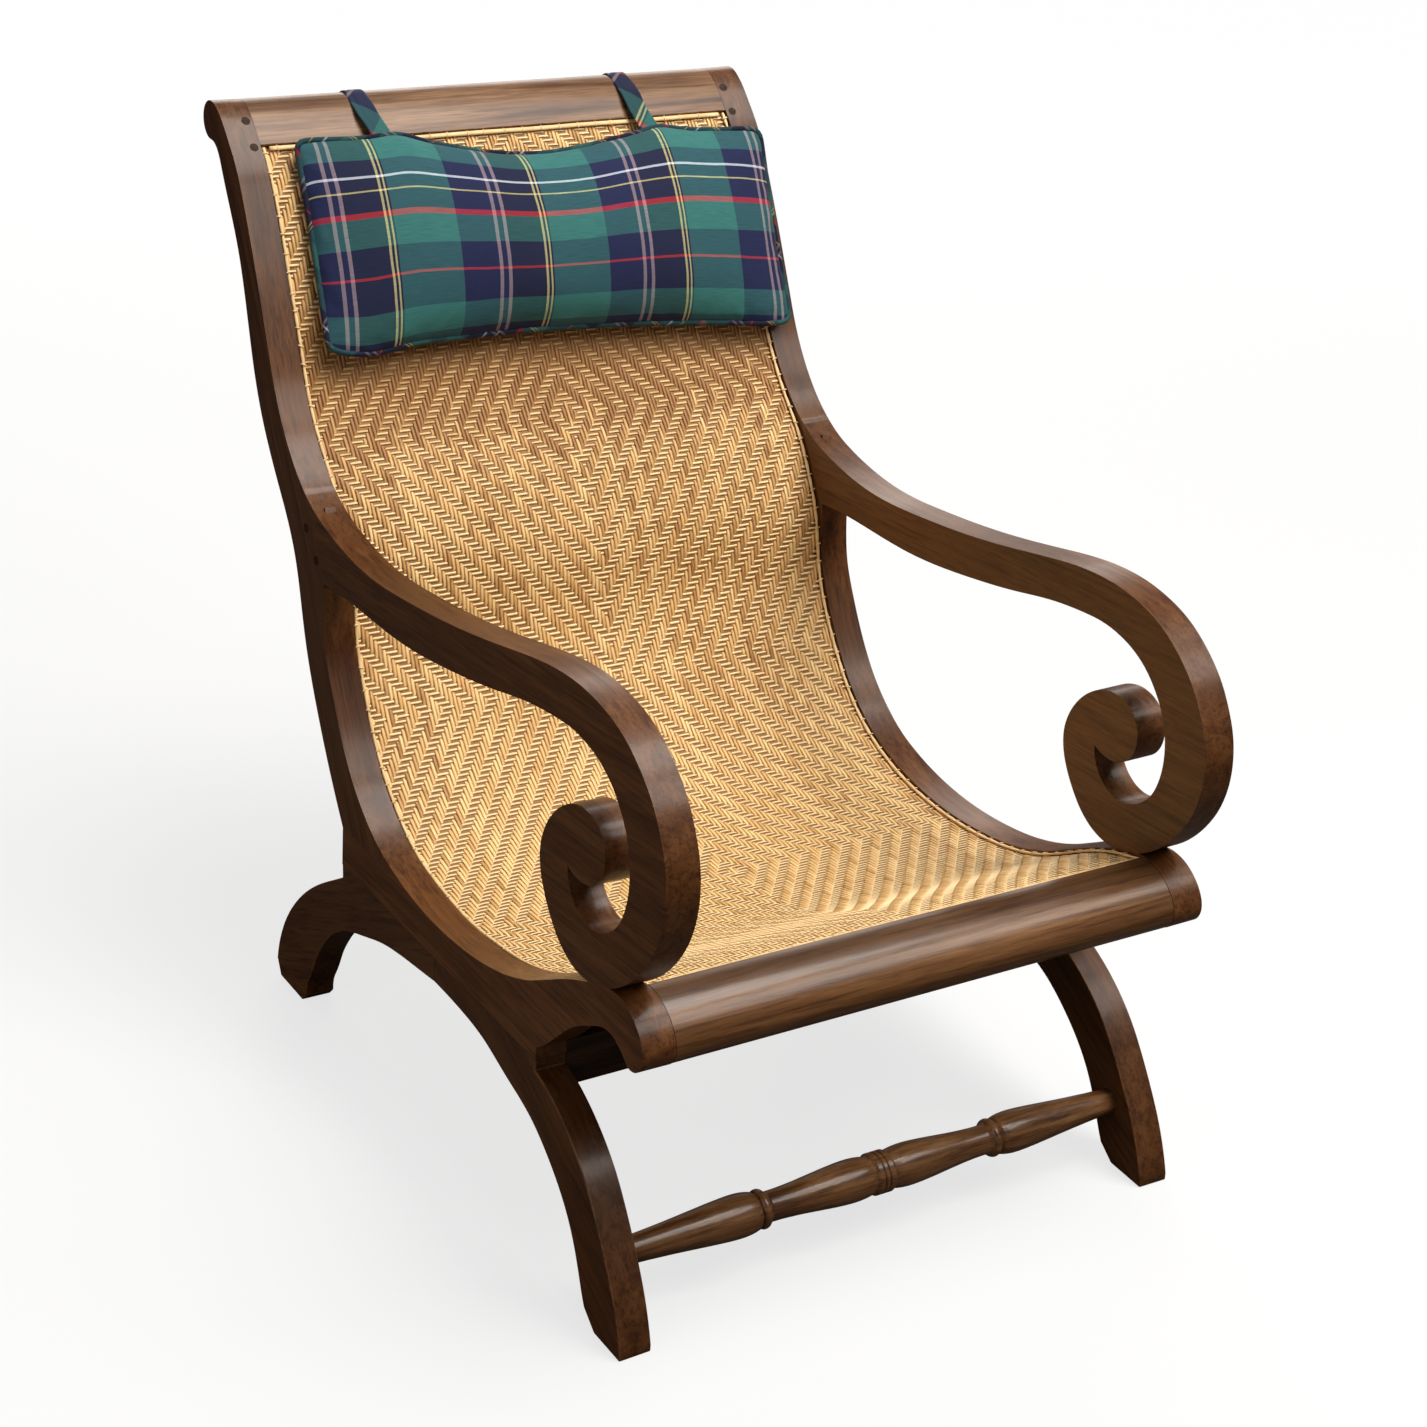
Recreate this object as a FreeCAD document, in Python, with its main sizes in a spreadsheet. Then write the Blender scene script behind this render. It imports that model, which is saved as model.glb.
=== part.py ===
"""Cane lounge chair: two shaped side frames, cross rails, a cane sling and a hung head pillow.

Millimetres. X runs across the seat, -Y is the front, +Z is up. The origin lies on the floor
below the centre of the chair. Each side frame is drawn in its own upright plane, with its
outer face at zero, then leaned in toward the top and toed out toward the back.
"""
import FreeCAD, Part
import math
import os

SIZES = (
    # side frames
    ("profile_depth", 974.0, "scroll front to top roll, along the frame"),
    ("profile_height", 917.5, "floor to the crest of the top roll"),
    ("board_thickness", 32.5, "all frame boards"),
    ("lean_angle", 1.509, "degrees, frames lean in toward the top"),
    ("toe_angle", 1.264, "degrees, frames spread toward the back"),
    ("floor_half_width", 318.9, "centre plane to the outer face on the floor, mid depth"),
    ("roll_radius", 19.5, "rolled back edge of the crest"),
    ("frame_set", 1.55, "frames forward of the drawn middle, so that the chair is centred"),
    ("sole_trim", 3.7, "leg stock below the floor, sawn off level"),
    ("saw_overrun", 5.0, "how far cutting tools run past a face"),
    ("curve_fit", 0.2, "how closely arcs follow the drawn curves"),
    # cane and its fittings
    ("cane_recess", 4.0, "cane surface below the frame edge"),
    ("cane_thickness", 4.0, "woven sheet"),
    ("bead_width", 9.0, "double strand edge bead"),
    ("batten_depth", 12.0, "batten under the cane"),
    ("batten_width", 15.0, "batten, across the frame's inner face"),
    # tenons
    ("joint_clearance", 0.15, "room around a tenon in its mortise"),
    ("tenon_length", 22.0, "into the board"),
    ("rail_tenon_thickness", 12.0, "cross rail tenons"),
    ("top_tenon_width", 40.0, "top rail tenon, along the slope"),
    ("top_slope_angle", 45.0, "degrees, slope of the crest"),
    ("top_tenon_y_share", 0.4489, "lower back corner, share of profile_depth"),
    ("top_tenon_z_share", 0.9505, "lower back corner, share of profile_height"),
    ("front_tenon_width", 26.0, "front rail tenon, front to back"),
    ("front_tenon_height", 22.0, "front rail tenon"),
    ("front_tenon_y_share", -0.4671, "front corner, share of profile_depth"),
    ("front_tenon_z_share", 0.3422, "lower corner, share of profile_height"),
    ("front_rail_depth", 40.0, "back face of the front rail, top to bottom"),
    ("arm_tenon_length", 30.0, "arm tenon, into the stile"),
    ("arm_tenon_width", 58.0, "arm tenon, along the shoulder"),
    ("arm_tenon_thickness", 11.0, "arm tenon, across the board"),
    ("arm_shoulder_angle", -30.0, "degrees, way in of the arm tenon"),
    ("arm_tenon_y_share", 0.1915, "tenon's lower edge on the shoulder"),
    ("arm_tenon_z_share", 0.5583, "tenon's lower edge on the shoulder"),
    # cross rails under the cane
    ("seat_rail_width", 24.0, "seat cross rail, front to back"),
    ("seat_rail_height", 36.0, "seat cross rail"),
    ("rear_rail_width", 24.0, "rear cross rail, front to back"),
    ("rear_rail_height", 20.0, "rear cross rail"),
    ("cross_shoulder", 4.0, "rail wood left round a cross rail tenon"),
    ("rear_rail_y_share", -0.0103, "front face of the rear cross rail"),
    # turned stretcher
    ("stretcher_end_set", 26.9, "end of the tenon, inside the frame's outer face"),
    ("stretcher_tenon_length", 17.0, "round tenon in the leg"),
    ("stretcher_end_radius", 12.5, "round tenon and the end of the last swell"),
    ("stretcher_swell_radius", 20.5, "widest of the turning"),
    ("stretcher_neck_radius", 14.5, "beside the collars"),
    ("stretcher_ring_half", 8.0, "half length of the centre ring"),
    ("stretcher_collar_place", 130.0, "centre to the middle of a collar"),
    ("stretcher_collar_half", 4.5, "half length of a collar"),
    ("stretcher_collar_radius", 19.0, "collar at its crest"),
    ("stretcher_collar_edge", 16.0, "collar at its edges"),
    ("stretcher_cove", 3.0, "length of the hollow beside a ring or collar"),
    ("stretcher_groove_place", 2.7, "centre to a groove of the ring"),
    ("stretcher_groove_half", 1.1, "half width of that groove"),
    ("stretcher_groove_depth", 1.4, "depth of that groove"),
    ("stretcher_y_share", -0.4127, "axis, share of profile_depth"),
    ("stretcher_z_share", 0.0719, "axis, share of profile_height"),
    # pegs and dowels
    ("peg_diameter", 9.0, "pegs that show"),
    ("peg_proud", 0.6, "peg head above the face"),
    ("top_peg_inset", 25.0, "from the outer face"),
    ("top_peg_length", 28.0, "through the top rail's tenon"),
    ("top_plug_length", 10.0, "short plug"),
    ("arm_peg_length", 27.0, "through the arm tenon"),
    ("dowel_diameter", 9.0, "hidden dowels"),
    ("dowel_length", 36.0, "half in each board"),
    # head pillow
    ("pillow_width", 549.0, "across, corner to corner"),
    ("pillow_length", 221.0, "down the slope, corner to corner"),
    ("pillow_centre", 20.8, "middle of its lower edge, toward the right of the chair"),
    ("pillow_tilt_angle", -2.65, "degrees, it hangs lower on the right"),
    ("pillow_run", 11.3, "upper corners below the top of the cane, along it"),
    ("pillow_lift", -2.4, "lying plane above the cane, at the lower corners"),
    ("pillow_lie_angle", -1.84, "degrees, lying plane against the chord of the cane behind it"),
    ("pillow_seam_height", 20.0, "seam above the lying plane"),
    ("pillow_seam_half", 3.5, "half of the seam's thickness"),
    ("pillow_back_rise", 11.0, "back of the pillow above the lying plane"),
    ("pillow_crown", 64.0, "front of the pillow above the lying plane"),
    ("pillow_shoulder", 46.0, "edge to the end of the rounded side"),
    ("pillow_top_sag", 24.0, "top edge drawn in at the middle"),
    ("pillow_bottom_draw", 9.0, "bottom edge drawn in at the middle"),
    ("pillow_side_radius", 3200.0, "curve of the drawn-in sides"),
    ("pillow_side_draw", 2.0, "depth of that curve"),
    # straps
    ("strap_width", 24.0, "flat strap"),
    ("strap_thickness", 2.0, "flat strap"),
    ("strap_gap", 0.3, "strap above the rail"),
    ("strap_slack", 2.0, "hinge line to the wrapped part"),
    ("left_strap_place", -150.0, "middle of the left strap"),
    ("right_strap_place", 160.0, "middle of the right strap"),
    ("strap_bend_run", 28.0, "along the crest, cane line to the bend"),
    ("left_strap_tuck", 19.7, "end of the left strap, below the pillow's upper corners"),
    ("right_strap_tuck", 22.5, "end of the right strap, below the pillow's upper corners"),
    ("left_strap_rise", 1.3, "end of the left strap, above the middle of the seam"),
    ("right_strap_rise", 4.3, "end of the right strap, above the middle of the seam"),
    ("tack_head_radius", 4.5, "brass tack"),
    ("tack_head_height", 1.4, "brass tack"),
    ("tack_pin_radius", 1.0, "brass tack"),
    ("tack_pin_length", 12.0, "brass tack, into the rail"),
    ("tack_angle", -45.0, "degrees, place of the tack round the roll"),
)

# Outlines of the side frame, (depth, height) as shares of profile_depth and profile_height.
SITTING_SHARES = (
    (0.4271, 0.9613), (0.4066, 0.9351), (0.3819, 0.8883), (0.3532, 0.8240), (0.3275, 0.7619),
    (0.3018, 0.7063), (0.2659, 0.6572), (0.2351, 0.6213), (0.2084, 0.5777), (0.1879, 0.5308),
    (0.1776, 0.4687), (0.1612, 0.4251), (0.1366, 0.3815), (0.1099, 0.3455), (0.0791, 0.3172),
    (0.0483, 0.2975), (0.0123, 0.2834), (-0.0339, 0.2741), (-0.0955, 0.2703), (-0.1571, 0.2757),
    (-0.2187, 0.2877), (-0.2803, 0.3117), (-0.3419, 0.3477), (-0.3932, 0.3717), (-0.4271, 0.3815),
)
CREST_SHARES = ((0.4271, 0.9613), (0.4548, 0.9896), (0.4682, 0.9979), (0.4795, 1.0000))
BACK_SHARES = (
    (0.4723, 0.9569), (0.4487, 0.9286), (0.4076, 0.8545), (0.3799, 0.7749),
    (0.3563, 0.7063), (0.3203, 0.6431), (0.2598, 0.5559), (0.2300, 0.4632), (0.1961, 0.3858),
    (0.1591, 0.3204), (0.1304, 0.2768),
)
STILE_UPPER_SHARES = (
    (0.2300, 0.6289), (0.2721, 0.6649), (0.3018, 0.7063), (0.3275, 0.7619), (0.3532, 0.8240),
    (0.3819, 0.8883), (0.4066, 0.9351), (0.4271, 0.9613),
)
STILE_LOWER_SHARES = (
    (0.0277, 0.2888), (0.0534, 0.2997), (0.0801, 0.3172), (0.1109, 0.3455), (0.1386, 0.3847),
    (0.1622, 0.4294), (0.1776, 0.4687), (0.1828, 0.5068), (0.1838, 0.5439),
)
SCARF_SHARES = ((0.0493, 0.2768), (0.0277, 0.2888))
RAIL_TOP_SHARES = (
    (0.0277, 0.2888), (-0.0185, 0.2768), (-0.0749, 0.2703), (-0.1366, 0.2725), (-0.2115, 0.2856),
    (-0.2803, 0.3117), (-0.3419, 0.3477), (-0.3932, 0.3717), (-0.4271, 0.3815),
)
NOSE_SHARES = (
    (-0.4271, 0.3815), (-0.4446, 0.3804), (-0.4651, 0.3695), (-0.4784, 0.3531), (-0.4815, 0.3390),
    (-0.4743, 0.3237), (-0.4569, 0.3193),
)
HOLLOW_SHARES = (
    (-0.4569, 0.3193), (-0.4425, 0.3302), (-0.4230, 0.3368), (-0.3932, 0.3259), (-0.3604, 0.3052),
    (-0.3296, 0.2747), (-0.2967, 0.2452),
)
RAIL_FOOT_SHARES = ((-0.2967, 0.2311), (0.1304, 0.2311), (0.1304, 0.2768))
LEG_SEAM_SHARES = ((-0.0883, 0.2027), (-0.0883, 0.2311))
FRONT_LEG_FRONT_SHARES = (
    (-0.2967, 0.2191), (-0.3285, 0.2082), (-0.3676, 0.1842), (-0.3963, 0.1580), (-0.4240, 0.1199),
    (-0.4456, 0.0850), (-0.4651, 0.0436), (-0.4764, 0.0087),
)
FRONT_LEG_BACK_SHARES = (
    (-0.4086, 0.0163), (-0.3984, 0.0392), (-0.3860, 0.0687), (-0.3676, 0.0992), (-0.3255, 0.1406),
    (-0.2936, 0.1613), (-0.2402, 0.1798), (-0.1971, 0.1940), (-0.1540, 0.2005), (-0.0883, 0.2027),
)
FRONT_SOLE_SHARES = (-0.4764, -0.4343)
REAR_LEG_BACK_SHARES = (
    (0.1294, 0.2147), (0.1612, 0.1940), (0.2094, 0.1602), (0.2433, 0.1286), (0.2741, 0.0894),
    (0.2926, 0.0523), (0.3008, 0.0196),
)
REAR_LEG_FRONT_SHARES = (
    (0.2207, 0.0109), (0.2187, 0.0272), (0.2074, 0.0490), (0.1971, 0.0719), (0.1817, 0.0970),
    (0.1643, 0.1188), (0.1427, 0.1362), (0.1211, 0.1504), (0.0791, 0.1668), (0.0359, 0.1820),
    (-0.0113, 0.1918), (-0.0411, 0.1962), (-0.0883, 0.2027),
)
REAR_SOLE_SHARES = (0.2885, 0.2351)
ARM_OUTER_SHARES = (
    (0.2300, 0.6289), (0.1951, 0.6125), (0.1571, 0.6027), (0.1160, 0.5962), (0.0708, 0.5940),
    (0.0062, 0.5984), (-0.0749, 0.6082), (-0.1745, 0.6256), (-0.2628, 0.6441), (-0.3090, 0.6507),
    (-0.3552, 0.6507), (-0.3922, 0.6441), (-0.4230, 0.6322), (-0.4497, 0.6136), (-0.4692, 0.5943),
    (-0.4867, 0.5657), (-0.4959, 0.5430), (-0.5000, 0.5144), (-0.4979, 0.4863), (-0.4897, 0.4589),
    (-0.4743, 0.4316), (-0.4569, 0.4098), (-0.4363, 0.3913), (-0.4086, 0.3749), (-0.3799, 0.3673),
    (-0.3532, 0.3696), (-0.3275, 0.3826), (-0.3070, 0.4044), (-0.2916, 0.4316),
)
LOBE_SHARES = (
    (-0.2916, 0.4316), (-0.2868, 0.4600), (-0.2957, 0.4892), (-0.3131, 0.5125), (-0.3347, 0.5290),
    (-0.3583, 0.5362), (-0.3819, 0.5320), (-0.3963, 0.5188), (-0.4004, 0.5004), (-0.3953, 0.4816),
    (-0.3819, 0.4687), (-0.3655, 0.4621), (-0.3500, 0.4621), (-0.3368, 0.4665),
)
ARM_INNER_SHARES = (
    (-0.3368, 0.4665), (-0.3501, 0.4365), (-0.3686, 0.4252), (-0.3922, 0.4251), (-0.4117, 0.4349),
    (-0.4292, 0.4530), (-0.4384, 0.4760), (-0.4415, 0.5014), (-0.4385, 0.5263), (-0.4302, 0.5480),
    (-0.4199, 0.5632), (-0.4066, 0.5776), (-0.3912, 0.5886), (-0.3676, 0.5984), (-0.3368, 0.6038),
    (-0.2977, 0.6020), (-0.2505, 0.5951), (-0.1889, 0.5809), (-0.1253, 0.5678), (-0.0811, 0.5602),
    (-0.0164, 0.5515), (0.0472, 0.5482), (0.1078, 0.5483), (0.1448, 0.5472), (0.1838, 0.5439),
)
# Places along the frame, (depth, height) shares.
TOP_PEG_SHARES = (0.4476, 0.9832)
TOP_PLUG_SHARES = (0.4256, 0.9590)
ARM_PEG_SHARES = {"upper": (0.2290, 0.5918), "lower": (0.2038, 0.5635)}
DOWEL_SHARES = {
    "scarf_front": (0.0678, 0.2768), "scarf_rear": (0.1068, 0.2768),
    "front_leg_front": (-0.2618, 0.2311), "front_leg_rear": (-0.1335, 0.2311),
    "rear_leg_front": (-0.0205, 0.2311), "rear_leg_rear": (0.0880, 0.2311),
    "arm_scroll": (-0.3963, 0.3727),
}
DOWEL_BOARDS = {
    "scarf_front": ("back_stile", "seat_rail"), "scarf_rear": ("back_stile", "seat_rail"),
    "front_leg_front": ("seat_rail", "front_leg"), "front_leg_rear": ("seat_rail", "front_leg"),
    "rear_leg_front": ("seat_rail", "rear_leg"), "rear_leg_rear": ("seat_rail", "rear_leg"),
    "arm_scroll": ("seat_rail", "arm"),
}
# Pillow sections: (place across, share of the crown, share of the edge draw-in).
PILLOW_SHARES = (
    (-0.5, 0.08, 0.0), (-0.46, 0.50, 0.22), (-0.36, 0.86, 0.60), (-0.18, 0.99, 0.90),
    (0.0, 1.0, 1.0),
    (0.18, 0.99, 0.90), (0.36, 0.86, 0.60), (0.46, 0.50, 0.22), (0.5, 0.08, 0.0),
)
# Half of the stretcher's swell: (place between the ends of the run, share of the swell).
INNER_SWELL_SHARES = (
    (0.0, 0.62), (0.12, 0.98), (0.24, 1.0), (0.42, 0.76), (0.65, 0.34), (0.85, 0.06), (1.0, 0.0),
)
OUTER_SWELL_SHARES = (
    (0.0, 0.72), (0.08, 0.98), (0.18, 1.0), (0.35, 0.80), (0.58, 0.46), (0.8, 0.18), (1.0, 0.0),
)

FRAME = ("placement(vector(-sizes.floor_half_width; -sizes.frame_set; 0);"
         " rotation(sizes.toe_angle; sizes.lean_angle; 0))")

doc = FreeCAD.newDocument("cane_lounge_chair")
sheet = doc.addObject("Spreadsheet::Sheet", "sizes")
finished = []


def fill_sheet():
    for row, (name, value, note) in enumerate(SIZES, start=1):
        sheet.set("A%d" % row, name)
        sheet.set("B%d" % row, str(value))
        sheet.setAlias("B%d" % row, name)
        sheet.set("C%d" % row, note)
    doc.recompute()


def size(name):
    return float(sheet.get(name))


def add(kind, name, **bound):
    """A document object whose properties follow expressions on the sheet."""
    piece = doc.addObject(kind, name)
    for prop, text in bound.items():
        piece.setExpression(prop, text)
    return piece


def place(x="0", y="0", z="0", roll="0", pitch="0"):
    return "placement(vector(%s; %s; %s); rotation(0; %s; %s))" % (x, y, z, pitch, roll)


def along_depth(share):
    return "(sizes.profile_depth * %s)" % share


def chair_depth(share):
    """A depth share of the frame, measured from the chair's own middle."""
    return along_depth(share) + " - sizes.frame_set"


def along_height(share):
    return "(sizes.profile_height * %s)" % share


def finish(piece, label):
    piece.Label = label
    finished.append(piece)
    return piece


def mirror(piece, label):
    """The same piece on the right of the chair."""
    twin = doc.addObject("Part::Mirroring", label + "_twin")
    twin.Source = piece
    twin.Normal = FreeCAD.Vector(1, 0, 0)
    twin.Base = FreeCAD.Vector(0, 0, 0)
    return finish(twin, label)


def cut(base, tools, name):
    """Base with the tools taken away."""
    tool = tools[0]
    if len(tools) > 1:
        tool = doc.addObject("Part::MultiFuse", name + "_tools")
        tool.Shapes = tools
    piece = doc.addObject("Part::Cut", name)
    piece.Base = base
    piece.Tool = tool
    return piece


def inner_face_map():
    """Where outlines drawn on the frame meet the inner face of the left board, seen along X."""
    standing = FreeCAD.Rotation(size("toe_angle"), size("lean_angle"), 0)
    start = standing.multVec(FreeCAD.Vector(size("board_thickness"), 0, 0))
    start.y -= size("frame_set")
    depth = standing.multVec(FreeCAD.Vector(0, 1, 0))
    height = standing.multVec(FreeCAD.Vector(0, 0, 1))
    carry = FreeCAD.Matrix()
    carry.A11 = 0
    carry.A22, carry.A23, carry.A24 = depth.y, height.y, start.y
    carry.A32, carry.A33, carry.A34 = depth.z, height.z, start.z
    return carry


def spot(share_pair, plane="frame"):
    """A place on the side outline, on the frame's own plane or seen on its inner face."""
    depth, height = share_pair
    point = FreeCAD.Vector(0, depth * size("profile_depth"), height * size("profile_height"))
    return inner_face_map().multVec(point) if plane == "inner" else point


def spots(shares, plane="frame"):
    return [spot(pair, plane) for pair in shares]


def smooth(points, first=None, last=None):
    curve = Part.BSplineCurve()
    if first is None:
        curve.interpolate(points)
    else:
        curve.interpolate(Points=points, InitialTangent=first, FinalTangent=last)
    return curve


def arcs(curve):
    """The curve as a chain of arcs, the way a board is faired."""
    return [arc.toShape() for arc in curve.toBiArcs(size("curve_fit"))]


def faired(points):
    return arcs(smooth(points))


def straight(points):
    return [Part.LineSegment(a, b).toShape() for a, b in zip(points, points[1:])]


def beside(curve, first, last, offset, count=40):
    """Points beside a curve between two lengths along it, a quarter turn on from its way."""
    points = []
    for index in range(count + 1):
        run = first + (last - first) * index / count
        parameter = curve.parameterAtDistance(run, curve.FirstParameter)
        way = curve.tangent(parameter)[0]
        points.append(curve.value(parameter) + FreeCAD.Vector(0, -way.z, way.y) * offset)
    return points


def face_feature(edges, name):
    wire = Part.Wire(Part.sortEdges(edges)[0])
    piece = doc.addObject("Part::Feature", name + "_outline")
    piece.Shape = Part.Face(wire)
    return piece


def extrude(outline, name, forward, backward=None):
    """The outline drawn out along X."""
    piece = doc.addObject("Part::Extrusion", name + "_stock")
    piece.Base = outline
    piece.DirMode = "Custom"
    piece.Dir = FreeCAD.Vector(1, 0, 0)
    piece.Solid = True
    piece.setExpression("LengthFwd", forward)
    if backward:
        piece.setExpression("LengthRev", backward)
    return piece


def band(curve, first, last, near, far):
    """Edges of a strip that follows a curve, between two offsets from it."""
    inner = beside(curve, first, last, near)
    outer = beside(curve, first, last, far)
    return (faired(inner) + faired(outer) + straight([inner[0], outer[0]])
            + straight([inner[-1], outer[-1]]))


def sitting_curve():
    return smooth(spots(SITTING_SHARES, "inner"))


def crest_curve(plane):
    rise = math.radians(size("top_slope_angle"))
    leaving = FreeCAD.Vector(0, math.cos(rise), math.sin(rise))
    return smooth(spots(CREST_SHARES, plane), leaving, FreeCAD.Vector(0, 1, 0))


def roll_point(angle, radius, plane):
    """A point round the rolled back edge of the crest."""
    crest = spot(CREST_SHARES[-1], plane)
    turn = math.radians(angle)
    return FreeCAD.Vector(0, crest.y + radius * math.cos(turn),
                          crest.z - size("roll_radius") + radius * math.sin(turn))


def roll_arc(radius, plane):
    """Half round back of the crest, from its top to its underside."""
    ends = [roll_point(angle, radius, plane) for angle in (90, 0, -90)]
    return Part.Arc(*ends).toShape()


def board(edges, name):
    return extrude(face_feature(edges, name), name, "sizes.board_thickness")


def round_bar(name, place_text, diameter, length):
    bar = add("Part::Cylinder", name, Radius="%s / 2" % diameter, Height=length)
    bar.setExpression("Placement", place_text)
    return bar


def peg_pair(name, label, place_text, diameter, length):
    """A peg in its place on the left frame, its twin, and the tool for its hole."""
    hole = round_bar(name + "_hole", place_text, diameter, length)
    peg = round_bar(name, FRAME + " * " + place_text, diameter, length)
    finish(peg, "left_" + label)
    mirror(peg, "right_" + label)
    return hole


def make_pegs():
    """Pegs and plugs that show. Returns the tools for their holes."""
    turned = "(180 + sizes.top_slope_angle) * -1 + 90"
    out = place(z="-sizes.peg_proud")
    holes = {}
    for name, shares, length in (("top_peg", TOP_PEG_SHARES, "sizes.top_peg_length"),
                                 ("top_plug", TOP_PLUG_SHARES, "sizes.top_plug_length")):
        here = place("sizes.top_peg_inset", along_depth(shares[0]), along_height(shares[1]), turned)
        holes[name] = peg_pair(name, name, here + " * " + out, "sizes.peg_diameter", length)
    for which, shares in ARM_PEG_SHARES.items():
        name = "arm_peg_" + which
        here = place("-sizes.peg_proud", along_depth(shares[0]), along_height(shares[1]), pitch="90")
        holes[name] = peg_pair(name, name, here, "sizes.peg_diameter", "sizes.arm_peg_length")
    return holes


def make_dowels():
    """Upright dowels across the seams between boards."""
    holes = {}
    for which, shares in DOWEL_SHARES.items():
        here = place("sizes.board_thickness / 2", along_depth(shares[0]),
                     along_height(shares[1]) + " - sizes.dowel_length / 2")
        holes[which] = peg_pair(which + "_dowel", which + "_dowel", here,
                                "sizes.dowel_diameter", "sizes.dowel_length")
    return holes


def dowels_of(board_name, dowels):
    return [tool for which, tool in dowels.items() if board_name in DOWEL_BOARDS[which]]


def tenon(name, corner, width, height):
    """A tenon on the end of a cross member and the mortise for it in the left board.

    corner is the placement of its first corner on the board's outer plane.
    """
    start = place("sizes.board_thickness - sizes.tenon_length")
    bar = add("Part::Box", name + "_tenon", Length="2 * sizes.tenon_length", Width=width, Height=height)
    bar.setExpression("Placement", FRAME + " * " + start + " * " + corner)
    twin = doc.addObject("Part::Mirroring", name + "_tenon_twin")
    twin.Source = bar
    twin.Normal = FreeCAD.Vector(1, 0, 0)
    room = "-sizes.joint_clearance"
    hole = add("Part::Box", name + "_mortise", Length="2 * sizes.tenon_length",
               Width="%s + 2 * sizes.joint_clearance" % width,
               Height="%s + 2 * sizes.joint_clearance" % height)
    hole.setExpression("Placement", start + " * " + corner + " * " + place(room, room, room))
    return bar, twin, hole


def make_tenons():
    corners = {
        "top_rail": (place("0", along_depth("sizes.top_tenon_y_share"),
                           along_height("sizes.top_tenon_z_share"), "sizes.top_slope_angle"),
                     "sizes.top_tenon_width", "sizes.rail_tenon_thickness"),
        "front_rail": (place("0", along_depth("sizes.front_tenon_y_share"),
                             along_height("sizes.front_tenon_z_share")),
                       "sizes.front_tenon_width", "sizes.front_tenon_height"),
        "seat_cross_rail": (place("0", along_depth(RAIL_FOOT_SHARES[0][0]) + " + sizes.cross_shoulder",
                                  along_height(RAIL_FOOT_SHARES[0][1])
                                  + " - sizes.seat_rail_height + sizes.cross_shoulder"),
                            "sizes.seat_rail_width - 2 * sizes.cross_shoulder",
                            "sizes.seat_rail_height - 2 * sizes.cross_shoulder"),
        "rear_cross_rail": (place("0", along_depth("sizes.rear_rail_y_share") + " + sizes.cross_shoulder",
                                  along_height(RAIL_FOOT_SHARES[0][1]) + " + sizes.cross_shoulder"),
                            "sizes.rear_rail_width - 2 * sizes.cross_shoulder",
                            "sizes.rear_rail_height - 2 * sizes.cross_shoulder"),
    }
    return {name: tenon(name, *fit) for name, fit in corners.items()}


def make_arm_tenon():
    """The arm's tenon behind its shoulder, and the mortise for it in the stile."""
    corner = place("(sizes.board_thickness - sizes.arm_tenon_thickness) / 2",
                   along_depth("sizes.arm_tenon_y_share"), along_height("sizes.arm_tenon_z_share"),
                   "sizes.arm_shoulder_angle")
    root = place(y="-sizes.arm_tenon_length / 2")
    bar = add("Part::Box", "arm_tenon", Length="sizes.arm_tenon_thickness",
              Width="1.5 * sizes.arm_tenon_length", Height="sizes.arm_tenon_width")
    bar.setExpression("Placement", corner + " * " + root)
    room = "-sizes.joint_clearance"
    hole = add("Part::Box", "arm_mortise",
               Length="sizes.arm_tenon_thickness + 2 * sizes.joint_clearance",
               Width="1.5 * sizes.arm_tenon_length + 2 * sizes.joint_clearance",
               Height="sizes.arm_tenon_width + 2 * sizes.joint_clearance")
    hole.setExpression("Placement", corner + " * " + root + " * " + place(room, room, room))
    return bar, hole


def on_frame(piece, label):
    """Stands a piece drawn flat on the left frame, and adds its twin."""
    piece.setExpression("Placement", FRAME)
    finish(piece, "left_" + label)
    mirror(piece, "right_" + label)
    return piece


def make_stile(tenons, pegs, dowels, arm_mortise):
    back = spots(BACK_SHARES)
    lower = spots(STILE_LOWER_SHARES)
    upper = spots(STILE_UPPER_SHARES)
    scarf = spots(SCARF_SHARES)
    radius = size("roll_radius")
    edges = faired(upper) + arcs(crest_curve("frame")) + [roll_arc(radius, "frame")]
    edges += faired([roll_point(-90, radius, "frame")] + back) + faired(lower)
    edges += straight([back[-1]] + scarf) + straight([lower[-1], upper[0]])
    stock = board(edges, "back_stile")
    tools = [tenons["top_rail"][2], pegs["top_peg"], pegs["top_plug"], pegs["arm_peg_upper"],
             pegs["arm_peg_lower"], arm_mortise] + dowels_of("back_stile", dowels)
    return on_frame(cut(stock, tools, "back_stile"), "back_stile")


def rail_foot():
    """Underside corner under the nose, rear corner, and the top of the rear end."""
    return spots(RAIL_FOOT_SHARES)


def make_seat_rail(tenons, dowels):
    foot = rail_foot()
    hollow = spots(HOLLOW_SHARES)
    scarf = spots(SCARF_SHARES)
    edges = faired(spots(RAIL_TOP_SHARES + NOSE_SHARES[1:])) + faired(hollow)
    edges += straight([hollow[-1]] + foot + scarf)
    stock = board(edges, "seat_rail")
    tools = [tenons["front_rail"][2], tenons["rear_cross_rail"][2]] + dowels_of("seat_rail", dowels)
    rail = cut(stock, tools, "seat_rail")
    return on_frame(rail, "seat_rail"), stock


def sole(shares):
    """The two ends of a leg's sole, below the floor before it is sawn level."""
    level = -size("sole_trim")
    return [FreeCAD.Vector(0, share * size("profile_depth"), level) for share in shares]


def on_floor(piece, ground, label):
    """Stands a leg on the frame and saws it level with the floor."""
    piece.setExpression("Placement", FRAME)
    leg = cut(piece, ground, "left_" + label)
    finish(leg, "left_" + label)
    mirror(leg, "right_" + label)
    return leg


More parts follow.
